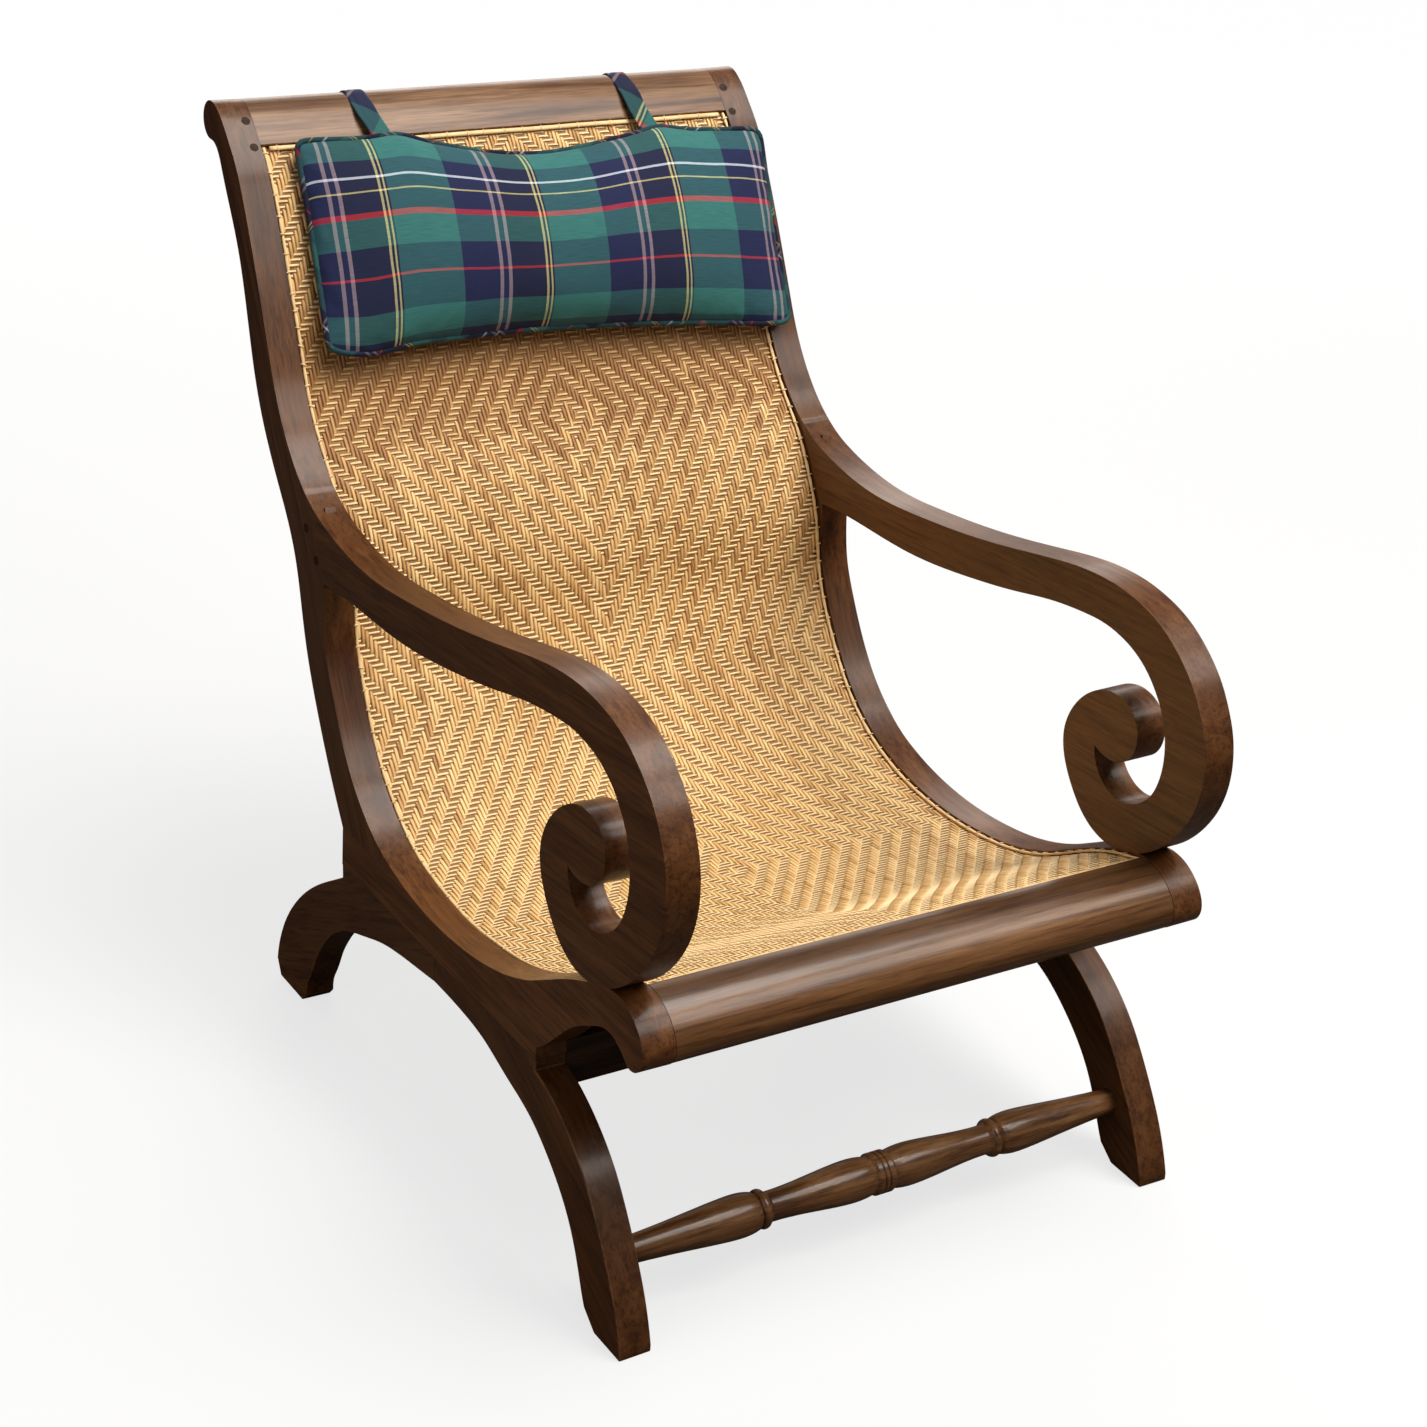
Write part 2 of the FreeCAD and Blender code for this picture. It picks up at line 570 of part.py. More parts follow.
def make_front_leg(tenons, dowels, ground):
    seam = spots(LEG_SEAM_SHARES)
    front = spots(FRONT_LEG_FRONT_SHARES)
    back = spots(FRONT_LEG_BACK_SHARES)
    feet = sole(FRONT_SOLE_SHARES)
    edges = faired(front) + faired(back)
    edges += straight([back[-1], seam[1], rail_foot()[0], front[0]])
    edges += straight([front[-1]] + feet + [back[0]])
    stock = board(edges, "front_leg")
    tools = [tenons["seat_cross_rail"][2]] + dowels_of("front_leg", dowels)
    return on_floor(cut(stock, tools, "front_leg_shape"), ground, "front_leg")


def make_rear_leg(dowels, ground):
    seam = spots(LEG_SEAM_SHARES)
    back = spots(REAR_LEG_BACK_SHARES)
    front = spots(REAR_LEG_FRONT_SHARES)
    feet = sole(REAR_SOLE_SHARES)
    edges = faired(back) + faired(front)
    edges += straight([front[-1], seam[1], rail_foot()[1], back[0]])
    edges += straight([back[-1]] + feet + [front[0]])
    stock = board(edges, "rear_leg")
    return on_floor(cut(stock, dowels_of("rear_leg", dowels), "rear_leg_shape"), ground, "rear_leg")


def make_arm(arm_tenon, pegs, dowels, rail_stock):
    """The arm with its front scroll, seated on the rail under the scroll."""
    outer = spots(ARM_OUTER_SHARES)
    lobe = spots(LOBE_SHARES)
    inner = spots(ARM_INNER_SHARES)
    edges = faired(outer + lobe[1:]) + faired(inner)
    edges += straight([inner[-1], outer[0]])
    stock = doc.addObject("Part::MultiFuse", "arm_with_tenon")
    stock.Shapes = [board(edges, "arm"), arm_tenon]
    seated = cut(stock, [rail_stock], "arm_seated")
    tools = [pegs["arm_peg_upper"], pegs["arm_peg_lower"]] + dowels_of("arm", dowels)
    return on_frame(cut(seated, tools, "arm_shape"), "arm")


def make_side_zones(name, extra):
    """Everything outside the inner faces of the boards, moved in by an extra width."""
    zone = add("Part::Box", name, Length="sizes.profile_depth + sizes.board_thickness + " + extra,
               Width="2 * sizes.profile_depth", Height="2 * sizes.profile_height")
    start = place("-sizes.profile_depth", "-sizes.profile_depth", "-sizes.profile_height / 2")
    zone.setExpression("Placement", FRAME + " * " + start)
    twin = doc.addObject("Part::Mirroring", name + "_twin")
    twin.Source = zone
    twin.Normal = FreeCAD.Vector(1, 0, 0)
    return [zone, twin]


def across(edges, name, zones):
    """A member drawn across the chair and cut off between the frames."""
    stock = extrude(face_feature(edges, name), name, "sizes.floor_half_width",
                    "sizes.floor_half_width")
    return cut(stock, zones, name + "_between")


def strip_beside_board(edges, label, zones, strip_zones):
    """A strip along the inner face of the left board, as wide as its zone, and its twin."""
    strip = doc.addObject("Part::Common", "left_" + label)
    strip.Base = across(edges, label, zones)
    strip.Tool = strip_zones[0]
    finish(strip, "left_" + label)
    mirror(strip, "right_" + label)


def with_tenons(body, tenons, name):
    piece = doc.addObject("Part::MultiFuse", name + "_with_tenons")
    piece.Shapes = [body, tenons[name][0], tenons[name][1]]
    return piece


def make_top_rail(tenons, pegs, zones, tack_pins):
    cane_end = spot(CREST_SHARES[0], "inner")
    face_end = beside(sitting_curve(), 0, 0, size("board_thickness"), 1)[0]
    under = roll_point(-90, size("roll_radius"), "inner")
    edges = arcs(crest_curve("inner")) + [roll_arc(size("roll_radius"), "inner")]
    edges += straight([under, face_end, cane_end])
    rail = with_tenons(across(edges, "top_rail", zones), tenons, "top_rail")
    left_hole = add("Part::Compound", "top_peg_tool")
    left_hole.Links = [pegs["top_peg"]]
    left_hole.setExpression("Placement", FRAME)
    right_hole = doc.addObject("Part::Mirroring", "top_peg_tool_twin")
    right_hole.Source = left_hole
    right_hole.Normal = FreeCAD.Vector(1, 0, 0)
    return finish(cut(rail, [left_hole, right_hole] + tack_pins, "top_rail_drilled"), "top_rail")


def make_front_rail(tenons, zones):
    sitting = sitting_curve()
    nose = smooth(spots(RAIL_TOP_SHARES + NOSE_SHARES[1:], "inner"))
    nose.segment(nose.parameter(spot(NOSE_SHARES[0], "inner")), nose.LastParameter)
    cane_end = nose.value(nose.FirstParameter)
    lip = nose.value(nose.LastParameter)
    hollow = spot(HOLLOW_SHARES[1], "inner")
    face_end = beside(sitting, sitting.length(), sitting.length(), size("front_rail_depth"), 1)[0]
    edges = arcs(nose) + straight([lip, hollow, face_end, cane_end])
    rail = with_tenons(across(edges, "front_rail", zones), tenons, "front_rail")
    return finish(rail, "front_rail")


def make_cross_rail(name, front, low, width, height, tenons, zones):
    bar = add("Part::Box", name + "_stock", Length="2 * sizes.floor_half_width", Width=width,
              Height=height)
    bar.setExpression("Placement", place("-sizes.floor_half_width", front, low))
    rail = with_tenons(cut(bar, zones, name + "_between"), tenons, name)
    return finish(rail, name)


def make_cross_rails(tenons, zones):
    make_cross_rail("seat_cross_rail", chair_depth(RAIL_FOOT_SHARES[0][0]),
                    along_height(RAIL_FOOT_SHARES[0][1]) + " - sizes.seat_rail_height",
                    "sizes.seat_rail_width", "sizes.seat_rail_height", tenons, zones)
    make_cross_rail("rear_cross_rail", chair_depth("sizes.rear_rail_y_share"),
                    along_height(RAIL_FOOT_SHARES[0][1]),
                    "sizes.rear_rail_width", "sizes.rear_rail_height", tenons, zones)


def make_cane(zones, bead_zones, batten_zones):
    """The woven sheet, the battens that it is held by and the bead along its edge."""
    sitting = sitting_curve()
    whole = sitting.length()
    top = size("cane_recess")
    under = top + size("cane_thickness")
    width = size("bead_width")
    panel = across(band(sitting, 0, whole, top, under), "cane_panel", zones)
    finish(panel, "cane_panel")
    low = under + size("batten_depth")
    strip_beside_board(band(sitting, 0, whole, under, low), "cane_batten", zones, batten_zones)
    strip_beside_board(band(sitting, 0, whole, 0, top), "edge_bead", zones, bead_zones)
    seat = top - size("curve_fit")
    finish(across(band(sitting, 0, width, 0, seat), "top_edge_bead", bead_zones), "top_edge_bead")
    finish(across(band(sitting, whole - width, whole, 0, seat), "front_edge_bead", bead_zones),
           "front_edge_bead")


def swell(start, end, low, high, shares):
    """Outline points of a swelling run of the turning."""
    points = []
    for along, share in shares:
        points.append(FreeCAD.Vector(start + (end - start) * along, low + (high - low) * share, 0))
    return points


def make_stretcher():
    """Turned bar: centre ring, two collars, swells between them, round tenons at the ends."""
    reach = size("floor_half_width") - size("stretcher_end_set")
    end = size("stretcher_end_radius")
    wide = size("stretcher_swell_radius")
    neck = size("stretcher_neck_radius")
    ring = size("stretcher_ring_half")
    cove = size("stretcher_cove")
    collar = size("stretcher_collar_place")
    half = size("stretcher_collar_half")
    inner = swell(ring + cove, collar - half - cove, neck, wide, INNER_SWELL_SHARES)
    shoulder = reach - size("stretcher_tenon_length")
    outer = swell(collar + half + cove, shoulder, end, wide, OUTER_SWELL_SHARES)
    corner = FreeCAD.Vector
    groove = size("stretcher_groove_place")
    lip = size("stretcher_groove_half")
    bottom = wide - size("stretcher_groove_depth")
    crest = size("stretcher_collar_radius")
    rim = size("stretcher_collar_edge")
    edges = straight([corner(0, 0, 0), corner(0, wide, 0), corner(groove - lip, wide, 0),
                      corner(groove, bottom, 0), corner(groove + lip, wide, 0),
                      corner(ring, wide, 0), inner[0]])
    edges.append(smooth(inner).toShape())
    edges += straight([inner[-1], corner(collar - half, rim, 0)])
    edges.append(Part.Arc(corner(collar - half, rim, 0), corner(collar, crest, 0),
                          corner(collar + half, rim, 0)).toShape())
    edges += straight([corner(collar + half, rim, 0), outer[0]])
    edges.append(smooth(outer).toShape())
    edges += straight([outer[-1], corner(reach, end, 0), corner(reach, 0, 0), corner(0, 0, 0)])
    profile = face_feature(edges, "stretcher_half")
    half_bar = doc.addObject("Part::Revolution", "stretcher_right")
    half_bar.Source = profile
    half_bar.Axis = FreeCAD.Vector(1, 0, 0)
    half_bar.Base = FreeCAD.Vector(0, 0, 0)
    half_bar.Angle = 360
    half_bar.Solid = True
    twin = doc.addObject("Part::Mirroring", "stretcher_left")
    twin.Source = half_bar
    twin.Normal = FreeCAD.Vector(1, 0, 0)
    bar = doc.addObject("Part::MultiFuse", "front_stretcher")
    bar.Shapes = [half_bar, twin]
    bar.setExpression("Placement", place("0", chair_depth("sizes.stretcher_y_share"),
                                         along_height("sizes.stretcher_z_share")))
    return finish(bar, "front_stretcher")


def make_ground():
    """What is sawn or bored out of the left legs: the floor, and the stretcher's socket."""
    floor = add("Part::Box", "floor_zone", Length="2 * sizes.floor_half_width",
                Width="2 * sizes.profile_depth", Height="sizes.sole_trim + sizes.saw_overrun")
    floor.setExpression("Placement", place("-2 * sizes.floor_half_width + sizes.saw_overrun",
                                           "-sizes.profile_depth",
                                           "-sizes.sole_trim - sizes.saw_overrun"))
    return floor


def make_socket():
    socket = add("Part::Cylinder", "stretcher_socket", Radius="sizes.stretcher_end_radius",
                 Height="sizes.floor_half_width")
    socket.setExpression("Placement", place("sizes.stretcher_end_set - sizes.floor_half_width",
                                            chair_depth("sizes.stretcher_y_share"),
                                            along_height("sizes.stretcher_z_share"), pitch="90"))
    return socket


def pillow_section(across_share, crown_share, draw_share):
    """One cross-section of the pillow: two seam edges, a flat back and a domed front."""
    x = across_share * size("pillow_width")
    low = draw_share * size("pillow_bottom_draw")
    high = size("pillow_length") - draw_share * size("pillow_top_sag")
    seam = size("pillow_seam_height")
    half = size("pillow_seam_half")
    back = size("pillow_back_rise") * crown_share + (seam - half) * (1 - crown_share)
    front = seam + half + (size("pillow_crown") - seam - half) * crown_share
    shoulder = size("pillow_shoulder")
    middle = (low + high) / 2
    bulge = (front - seam - half) / 4
    rim = seam + half
    corner = FreeCAD.Vector
    rise = front - bulge / 2

    def side(start, way):
        edge = corner(x, start, rim)
        inner = corner(x, start + way * shoulder, rise)
        knee = corner(x, start + way * shoulder / 3, rim + (rise - rim) * 0.62)
        return edge, knee, inner

    low_edge, low_knee, low_inner = side(low, 1)
    high_edge, high_knee, high_inner = side(high, -1)
    edges = [
        Part.Arc(corner(x, low, seam - half), corner(x, middle, back),
                 corner(x, high, seam - half)).toShape(),
        Part.LineSegment(corner(x, high, seam - half), high_edge).toShape(),
        Part.Arc(high_edge, high_knee, high_inner).toShape(),
        Part.Arc(high_inner, corner(x, middle, front), low_inner).toShape(),
        Part.Arc(low_inner, low_knee, low_edge).toShape(),
        Part.LineSegment(low_edge, corner(x, low, seam - half)).toShape(),
    ]
    return Part.Wire(edges)


def pillow_placement():
    """How the pillow lies: on a plane along the chord of the cane behind it."""
    cane = sitting_curve()
    top = size("pillow_run")
    high, low = [cane.value(cane.parameterAtDistance(run, cane.FirstParameter))
                 for run in (top, top + size("pillow_length"))]
    slope = math.degrees(math.atan2(high.z - low.z, high.y - low.y)) + size("pillow_lie_angle")
    lower_middle = FreeCAD.Vector(size("pillow_centre"), low.y, low.z)
    plane = FreeCAD.Placement(lower_middle, FreeCAD.Rotation(0, 0, slope))
    lift = FreeCAD.Vector(0, 0, size("pillow_lift"))
    return plane.multiply(FreeCAD.Placement(lift, FreeCAD.Rotation(size("pillow_tilt_angle"), 0, 0)))


def make_pillow():
    """Head pillow, crowned, with its edges drawn in between the corners."""
    form = doc.addObject("Part::Feature", "pillow_form")
    form.Shape = Part.makeLoft([pillow_section(*shares) for shares in PILLOW_SHARES], True, False)
    sides = []
    for way in ("-1", "1"):
        bite = add("Part::Cylinder", "pillow_side_bite",
                   Radius="sizes.pillow_side_radius",
                   Height="2 * sizes.pillow_crown")
        bite.setExpression("Placement", place(
            "%s * (sizes.pillow_width / 2 + sizes.pillow_side_radius - sizes.pillow_side_draw)" % way,
            "sizes.pillow_length / 2", "-sizes.pillow_crown / 2"))
        sides.append(bite)
    pillow = cut(form, sides, "headrest_pillow")
    pillow.Placement = pillow_placement()
    return finish(pillow, "headrest_pillow")


def bend_point():
    """Where a strap leaves the rail: the line that the pillow swings about."""
    crest = crest_curve("inner")
    off = size("strap_gap") + size("strap_thickness") / 2
    return beside(crest, size("strap_bend_run"), size("strap_bend_run"), off, 1)[0]


def make_wrap(side, pin):
    """The part of a strap that lies over the rail."""
    crest = crest_curve("inner")
    near = size("strap_gap")
    far = near + size("strap_thickness")
    start = size("strap_bend_run") + size("strap_slack")
    inner = beside(crest, start, crest.length(), near)
    outer = beside(crest, start, crest.length(), far)
    radius = size("roll_radius")
    edges = faired(inner) + faired(outer) + straight([inner[0], outer[0]])
    edges += [roll_arc(radius + near, "inner"), roll_arc(radius + far, "inner")]
    edges += straight([roll_point(-90, radius + near, "inner"), roll_point(-90, radius + far, "inner")])
    name = side + "_strap_wrap"
    strap = extrude(face_feature(edges, name), name, "sizes.strap_width")
    strap.setExpression("Placement", place("sizes.%s_strap_place - sizes.strap_width / 2" % side))
    return finish(cut(strap, [pin], name), name)


def strap_end(side):
    """Where a strap ends inside the pillow's top seam."""
    along = size("pillow_length") - size(side + "_strap_tuck")
    tilt = math.radians(size("pillow_tilt_angle"))
    across = size(side + "_strap_place") - size("pillow_centre") + along * math.sin(tilt)
    height = size("pillow_seam_height") + size(side + "_strap_rise")
    return pillow_placement().multVec(FreeCAD.Vector(across / math.cos(tilt), along, height))


def make_drop(side, pillow):
    """The part of a strap between the bend and the pillow's top seam."""
    bend = bend_point()
    end = strap_end(side)
    turn = math.degrees(math.atan2(end.z - bend.z, end.y - bend.y))
    name = side + "_strap_drop"
    left_edge = "sizes.%s_strap_place - sizes.strap_width / 2" % side
    flat = add("Part::Box", name + "_flat", Length="sizes.strap_width",
               Height="sizes.strap_thickness")
    flat.Width = math.hypot(end.y - bend.y, end.z - bend.z)
    lower = place(z="-sizes.strap_thickness / 2")
    at_bend = "placement(vector(%s; %.4f; %.4f); rotation(0; 0; %.4f))" % (
        left_edge, bend.y, bend.z, turn)
    flat.setExpression("Placement", at_bend + " * " + lower)
    fold = add("Part::Cylinder", name + "_fold", Radius="sizes.strap_thickness / 2",
               Height="sizes.strap_width")
    fold.setExpression("Placement", at_bend + " * " + place(pitch="90"))
    strap = doc.addObject("Part::MultiFuse", name + "_whole")
    strap.Shapes = [flat, fold]
    return finish(cut(strap, [pillow], name), name)


def make_tack(side):
    """A tack that holds the strap on the back of the rail, and the tool for its pin's hole."""
    out = size("roll_radius") + size("strap_gap") + size("strap_thickness")
    seat = roll_point(size("tack_angle"), out, "inner")
    name = side + "_strap_tack"
    here = "placement(vector(sizes.%s_strap_place; %.4f; %.4f); rotation(0; 0; %s))" % (
        side, seat.y, seat.z, "sizes.tack_angle - 90")
    head = add("Part::Cone", name + "_head", Radius1="sizes.tack_head_radius",
               Radius2="sizes.tack_head_radius / 2", Height="sizes.tack_head_height")
    head.setExpression("Placement", here)
    pin = add("Part::Cylinder", name + "_pin", Radius="sizes.tack_pin_radius",
              Height="sizes.tack_pin_length + sizes.tack_head_height / 2")
    pin.setExpression("Placement", here + " * " + place(z="-sizes.tack_pin_length"))
    tack = doc.addObject("Part::MultiFuse", name)
    tack.Shapes = [head, pin]
    finish(tack, name)
    return pin


def make_chair():
    fill_sheet()
    pegs = make_pegs()
    dowels = make_dowels()
    tenons = make_tenons()
    arm_tenon, arm_mortise = make_arm_tenon()
    zones = make_side_zones("side_zone", "0")
    bead_zones = make_side_zones("bead_zone", "sizes.bead_width")
    batten_zones = make_side_zones("batten_zone", "sizes.batten_width")
    floor = make_ground()
    socket = make_socket()
    make_stile(tenons, pegs, dowels, arm_mortise)
    rail, rail_stock = make_seat_rail(tenons, dowels)
    make_front_leg(tenons, dowels, [floor, socket])
    make_rear_leg(dowels, [floor])
    make_arm(arm_tenon, pegs, dowels, rail_stock)
    pins = [make_tack(side) for side in ("left", "right")]
    make_top_rail(tenons, pegs, zones, pins)
    make_front_rail(tenons, zones)
    make_cross_rails(tenons, zones)
    make_cane(zones, bead_zones, batten_zones)
    make_stretcher()
    pillow = make_pillow()
    for side, pin in zip(("left", "right"), pins):
        make_wrap(side, pin)
        make_drop(side, pillow)
    doc.recompute()


def check_and_write():
    for piece in doc.Objects:
        if "Invalid" in piece.State or "Error" in piece.State:
            raise RuntimeError("%s did not build: %s" % (piece.Label, piece.State))
    for piece in finished:
        shape = piece.Shape
        if shape.isNull() or not shape.isValid() or not shape.Solids:
            raise RuntimeError("%s has no sound solid" % piece.Label)
    os.makedirs("parts", exist_ok=True)
    for piece in finished:
        piece.Shape.exportStep(os.path.join("parts", piece.Label + ".step"))


make_chair()
check_and_write()
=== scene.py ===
"""Cane lounge chair, dressed: eased teak boards, woven cane, checked head pillow, soft studio."""
import bpy
import bmesh
import random
import numpy as np
from math import atan2, copysign, cos, exp, hypot, pi, radians, sin, sqrt
from mathutils import Matrix, Vector, noise
from mathutils.bvhtree import BVHTree


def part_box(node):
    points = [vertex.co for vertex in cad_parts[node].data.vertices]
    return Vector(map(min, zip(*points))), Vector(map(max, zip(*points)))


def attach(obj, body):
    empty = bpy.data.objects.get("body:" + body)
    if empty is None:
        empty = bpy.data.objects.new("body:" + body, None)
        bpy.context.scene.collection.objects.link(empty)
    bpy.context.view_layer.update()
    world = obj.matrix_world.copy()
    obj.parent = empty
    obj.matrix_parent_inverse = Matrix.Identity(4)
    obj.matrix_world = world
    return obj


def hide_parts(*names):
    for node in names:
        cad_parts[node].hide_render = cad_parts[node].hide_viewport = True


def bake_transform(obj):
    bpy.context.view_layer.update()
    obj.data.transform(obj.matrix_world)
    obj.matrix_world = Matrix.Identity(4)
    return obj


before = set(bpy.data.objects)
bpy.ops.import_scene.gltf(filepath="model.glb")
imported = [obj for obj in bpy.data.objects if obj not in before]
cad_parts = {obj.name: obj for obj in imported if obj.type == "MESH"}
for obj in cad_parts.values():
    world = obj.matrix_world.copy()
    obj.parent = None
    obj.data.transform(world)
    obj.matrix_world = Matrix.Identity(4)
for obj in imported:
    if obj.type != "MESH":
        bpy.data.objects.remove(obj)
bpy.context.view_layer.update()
MM = 0.001

# The side frame's drawing, in millimetres, as in the CAD source.
PROFILE_DEPTH = 974.0
PROFILE_HEIGHT = 917.5
SITTING_SHARES = (
    (0.4271, 0.9613), (0.4066, 0.9351), (0.3819, 0.8883), (0.3532, 0.8240), (0.3275, 0.7619),
    (0.3018, 0.7063), (0.2659, 0.6572), (0.2351, 0.6213), (0.2084, 0.5777), (0.1879, 0.5308),
    (0.1776, 0.4687), (0.1612, 0.4251), (0.1366, 0.3815), (0.1099, 0.3455), (0.0791, 0.3172),
    (0.0483, 0.2975), (0.0123, 0.2834), (-0.0339, 0.2741), (-0.0955, 0.2703), (-0.1571, 0.2757),
    (-0.2187, 0.2877), (-0.2803, 0.3117), (-0.3419, 0.3477), (-0.3932, 0.3717), (-0.4271, 0.3815),
)
# The frames lean in toward the top and spread toward the back.
LEAN = radians(1.509)
SPREAD = radians(1.264)
# Where the drawing's origin falls along the cane's edge: half width, depth and height.
EDGE_ORIGIN = (286.42, -0.833, -0.856)
CANE_RECESS = 4.0
CANE_THICKNESS = 4.0

# Camera, solved from the photograph: place in metres, lens and film width in millimetres.
CAMERA_PLACE = (-1.22833, -2.05612, 1.47955)
CAMERA_TURN = radians(31.6913)
CAMERA_TILT = radians(24.7585)
CAMERA_ROLL = radians(3.0)
CAMERA_LENS = 65.62
FILM_WIDTH = 36.0


# Shader helpers. A value for a socket is a number, a colour or another node's socket.

def fill(socket, value):
    """Set a socket's plain value, or link it to another node's socket."""
    if isinstance(value, bpy.types.NodeSocket):
        value.id_data.links.new(value, socket)
    elif value is not None:
        socket.default_value = (*value, 1.0) if socket.type == "RGBA" else value


def fill_all(made, values):
    for key, value in values.items():
        fill(made.inputs[key], value)


def node(home, kind, **values):
    """A new node in the same tree as home, with its properties and sockets filled."""
    made = home.id_data.nodes.new(kind)
    for key, value in values.items():
        if key in made.bl_rna.properties.keys():
            setattr(made, key, value)
        else:
            fill(made.inputs[key], value)
    return made


def shader(name):
    """A new material: itself, its principled shader and the object's coordinates."""
    material = bpy.data.materials.new(name)
    material.use_nodes = True
    tree = material.node_tree
    coords = node(tree, "ShaderNodeTexCoord").outputs["Object"]
    return material, tree.nodes["Principled BSDF"], coords


def attribute(home, name, output="Fac"):
    return node(home, "ShaderNodeAttribute", attribute_name=name).outputs[output]


def maths(operation, *values, clamp=False):
    made = node(values[0], "ShaderNodeMath", operation=operation, use_clamp=clamp)
    for socket, value in zip(made.inputs, values):
        fill(socket, value)
    return made.outputs[0]


def ramp(factor, stops, constant=False):
    """A colour ramp. A stop's colour is three channels, or one number for a grey."""
    made = node(factor, "ShaderNodeValToRGB", Fac=factor)
    line = made.color_ramp
    line.interpolation = "CONSTANT" if constant else "LINEAR"
    while len(line.elements) < len(stops):
        line.elements.new(0.5)
    for element, (place, colour) in zip(line.elements, stops):
        if isinstance(colour, float):
            colour = (colour, colour, colour)
        element.position = place
        element.color = (*colour, 1.0)
    return made.outputs[0]


def mixed(factor, first, second, blend="MIX"):
    home = first if isinstance(factor, float) else factor
    made = node(home, "ShaderNodeMix", data_type="RGBA", blend_type=blend)
    for place, value in ((0, factor), (6, first), (7, second)):
        fill(made.inputs[place], value)
    return made.outputs[2]


def bump(height, strength, distance, normal=None):
    return node(height, "ShaderNodeBump", Height=height, Strength=strength, Distance=distance,
                Normal=normal).outputs[0]


def noise_at(vector, scale, detail, rough, twist=0.0):
    return node(vector, "ShaderNodeTexNoise", Vector=vector, Scale=scale, Detail=detail,
                Roughness=rough, Distortion=twist).outputs["Fac"]


def mapped(vector, **values):
    """Coordinates moved, turned or scaled."""
    return node(vector, "ShaderNodeMapping", Vector=vector, **values).outputs[0]


# Materials.

# The noises of the wood: scale along the grain and across it.
FIGURE_SCALE = (2.2, 58.0)
PORE_SCALE = (30.0, 620.0)
DASH_SCALE = (9.0, 230.0)
# How far a board's grain lies from the last one's.
BOARD_SHIFT = (0.37, 0.61, 0.23)
JOINT_TONE = (0.006, 0.003, 0.002)
WOOD_TINT = (1.0, 0.93, 0.86)


def grain(coords, way, scale, seed, detail, rough, twist=0.0):
    """Noise drawn out along way, the direction of the grain."""
    along, across = scale
    if abs(way[0]) > 0.5:
        turn, scales = (0.0, 0.0, 0.0), (along, across, across)
    else:
        turn, scales = (-atan2(way[2], way[1]), 0.0, 0.0), (across, along, across)
    shift = [seed * step for step in BOARD_SHIFT]
    turned = mapped(coords, Location=shift, Rotation=turn)
    return noise_at(mapped(turned, Scale=scales), 1.0, detail, rough, twist)


def rubbed(coords, colour, light):
    """Where the mesh marks them, rubbed edges come out lighter and joint lines dark."""
    worn = attribute(coords, "worn")
    scuff = ramp(noise_at(coords, 60.0, 3.0, 0.7), ((0.35, 0.0), (0.6, 1.0)))
    scuffed = maths("MULTIPLY", maths("MAXIMUM", worn, 0.0), scuff)
    lighter = tuple(min(1.0, channel * 1.9 + 0.012) for channel in light)
    colour = mixed(maths("MULTIPLY", scuffed, 0.5), colour, lighter)
    return mixed(maths("MULTIPLY", worn, -0.92, clamp=True), colour, JOINT_TONE)


def shade_painted_on_top(colour, amount):
    """Painted shade: faces that look up come out darker by a share, as if less light fell on them."""
    normal = node(colour, "ShaderNodeNewGeometry").outputs["Normal"]
    height = node(normal, "ShaderNodeSeparateXYZ", Vector=normal).outputs[2]
    return mixed(1.0, colour, ramp(height, ((0.74, 1.0), (0.97, 1.0 - amount))), "MULTIPLY")


def teak(name, way, tones, seed, rough=0.36, coat=0.14, figured=0.10, top_shade=0.0):
    """Dark polished teak. way is the grain's direction, tones are its dark, middle and light."""
    material, surface, coords = shader(name)
    dark, middle, light = tones
    figure = grain(coords, way, FIGURE_SCALE, seed, 6.0, 0.62, 0.7)
    pores = grain(coords, way, PORE_SCALE, seed, 2.0, 0.6)
    dashes = grain(coords, way, DASH_SCALE, seed, 3.0, 0.7)
    fade = maths("MULTIPLY_ADD", noise_at(coords, 5.0, 3.0, 0.5), 0.35, -0.17)
    tone = maths("ADD", figure, fade, clamp=True)
    colour = ramp(tone, ((0.34, dark), (0.49, middle), (0.66, light)))
    pore_dark = ramp(pores, ((0.30, (0.62, 0.58, 0.55)), (0.52, 1.0)))
    colour = mixed(0.75, colour, pore_dark, "MULTIPLY")
    dash_dark = ramp(dashes, ((0.38, (0.50, 0.45, 0.42)), (0.50, 1.0)))
    colour = mixed(0.8, colour, dash_dark, "MULTIPLY")
    colour = rubbed(coords, colour, light)
    # Painted shade on the upward faces, where it is asked for.
    if top_shade:
        colour = shade_painted_on_top(colour, top_shade)
    smear = maths("MULTIPLY_ADD", noise_at(coords, 14.0, 4.0, 0.6), 0.16, rough - 0.08)
    relief = bump(figure, figured, 0.0015, bump(pores, 0.22, 0.0004))
    fill_all(surface, {"Base Color": colour, "Roughness": maths("MULTIPLY_ADD", pores, 0.06, smear),
                       "Specular IOR Level": 0.24, "Specular Tint": WOOD_TINT,
                       "Coat Weight": coat, "Coat Roughness": 0.16, "Normal": relief})
    return material


def end_grain(name, dark, light):
    """The round heads of pegs: rings and open pores."""
    material, surface, coords = shader(name)
    moved = mapped(coords, Location=(1.7, 1.19, 0.0))
    specks = noise_at(moved, 900.0, 3.0, 0.7)
    rings = noise_at(moved, 160.0, 2.0, 0.5, 1.5)
    colour = ramp(rings, ((0.3, dark), (0.7, light)))
    colour = mixed(0.8, colour, ramp(specks, ((0.35, 0.5), (0.55, 1.0))), "MULTIPLY")
    fill_all(surface, {"Base Color": colour, "Roughness": 0.6, "Specular IOR Level": 0.15,
                       "Normal": bump(specks, 0.3, 0.0003)})
    return material


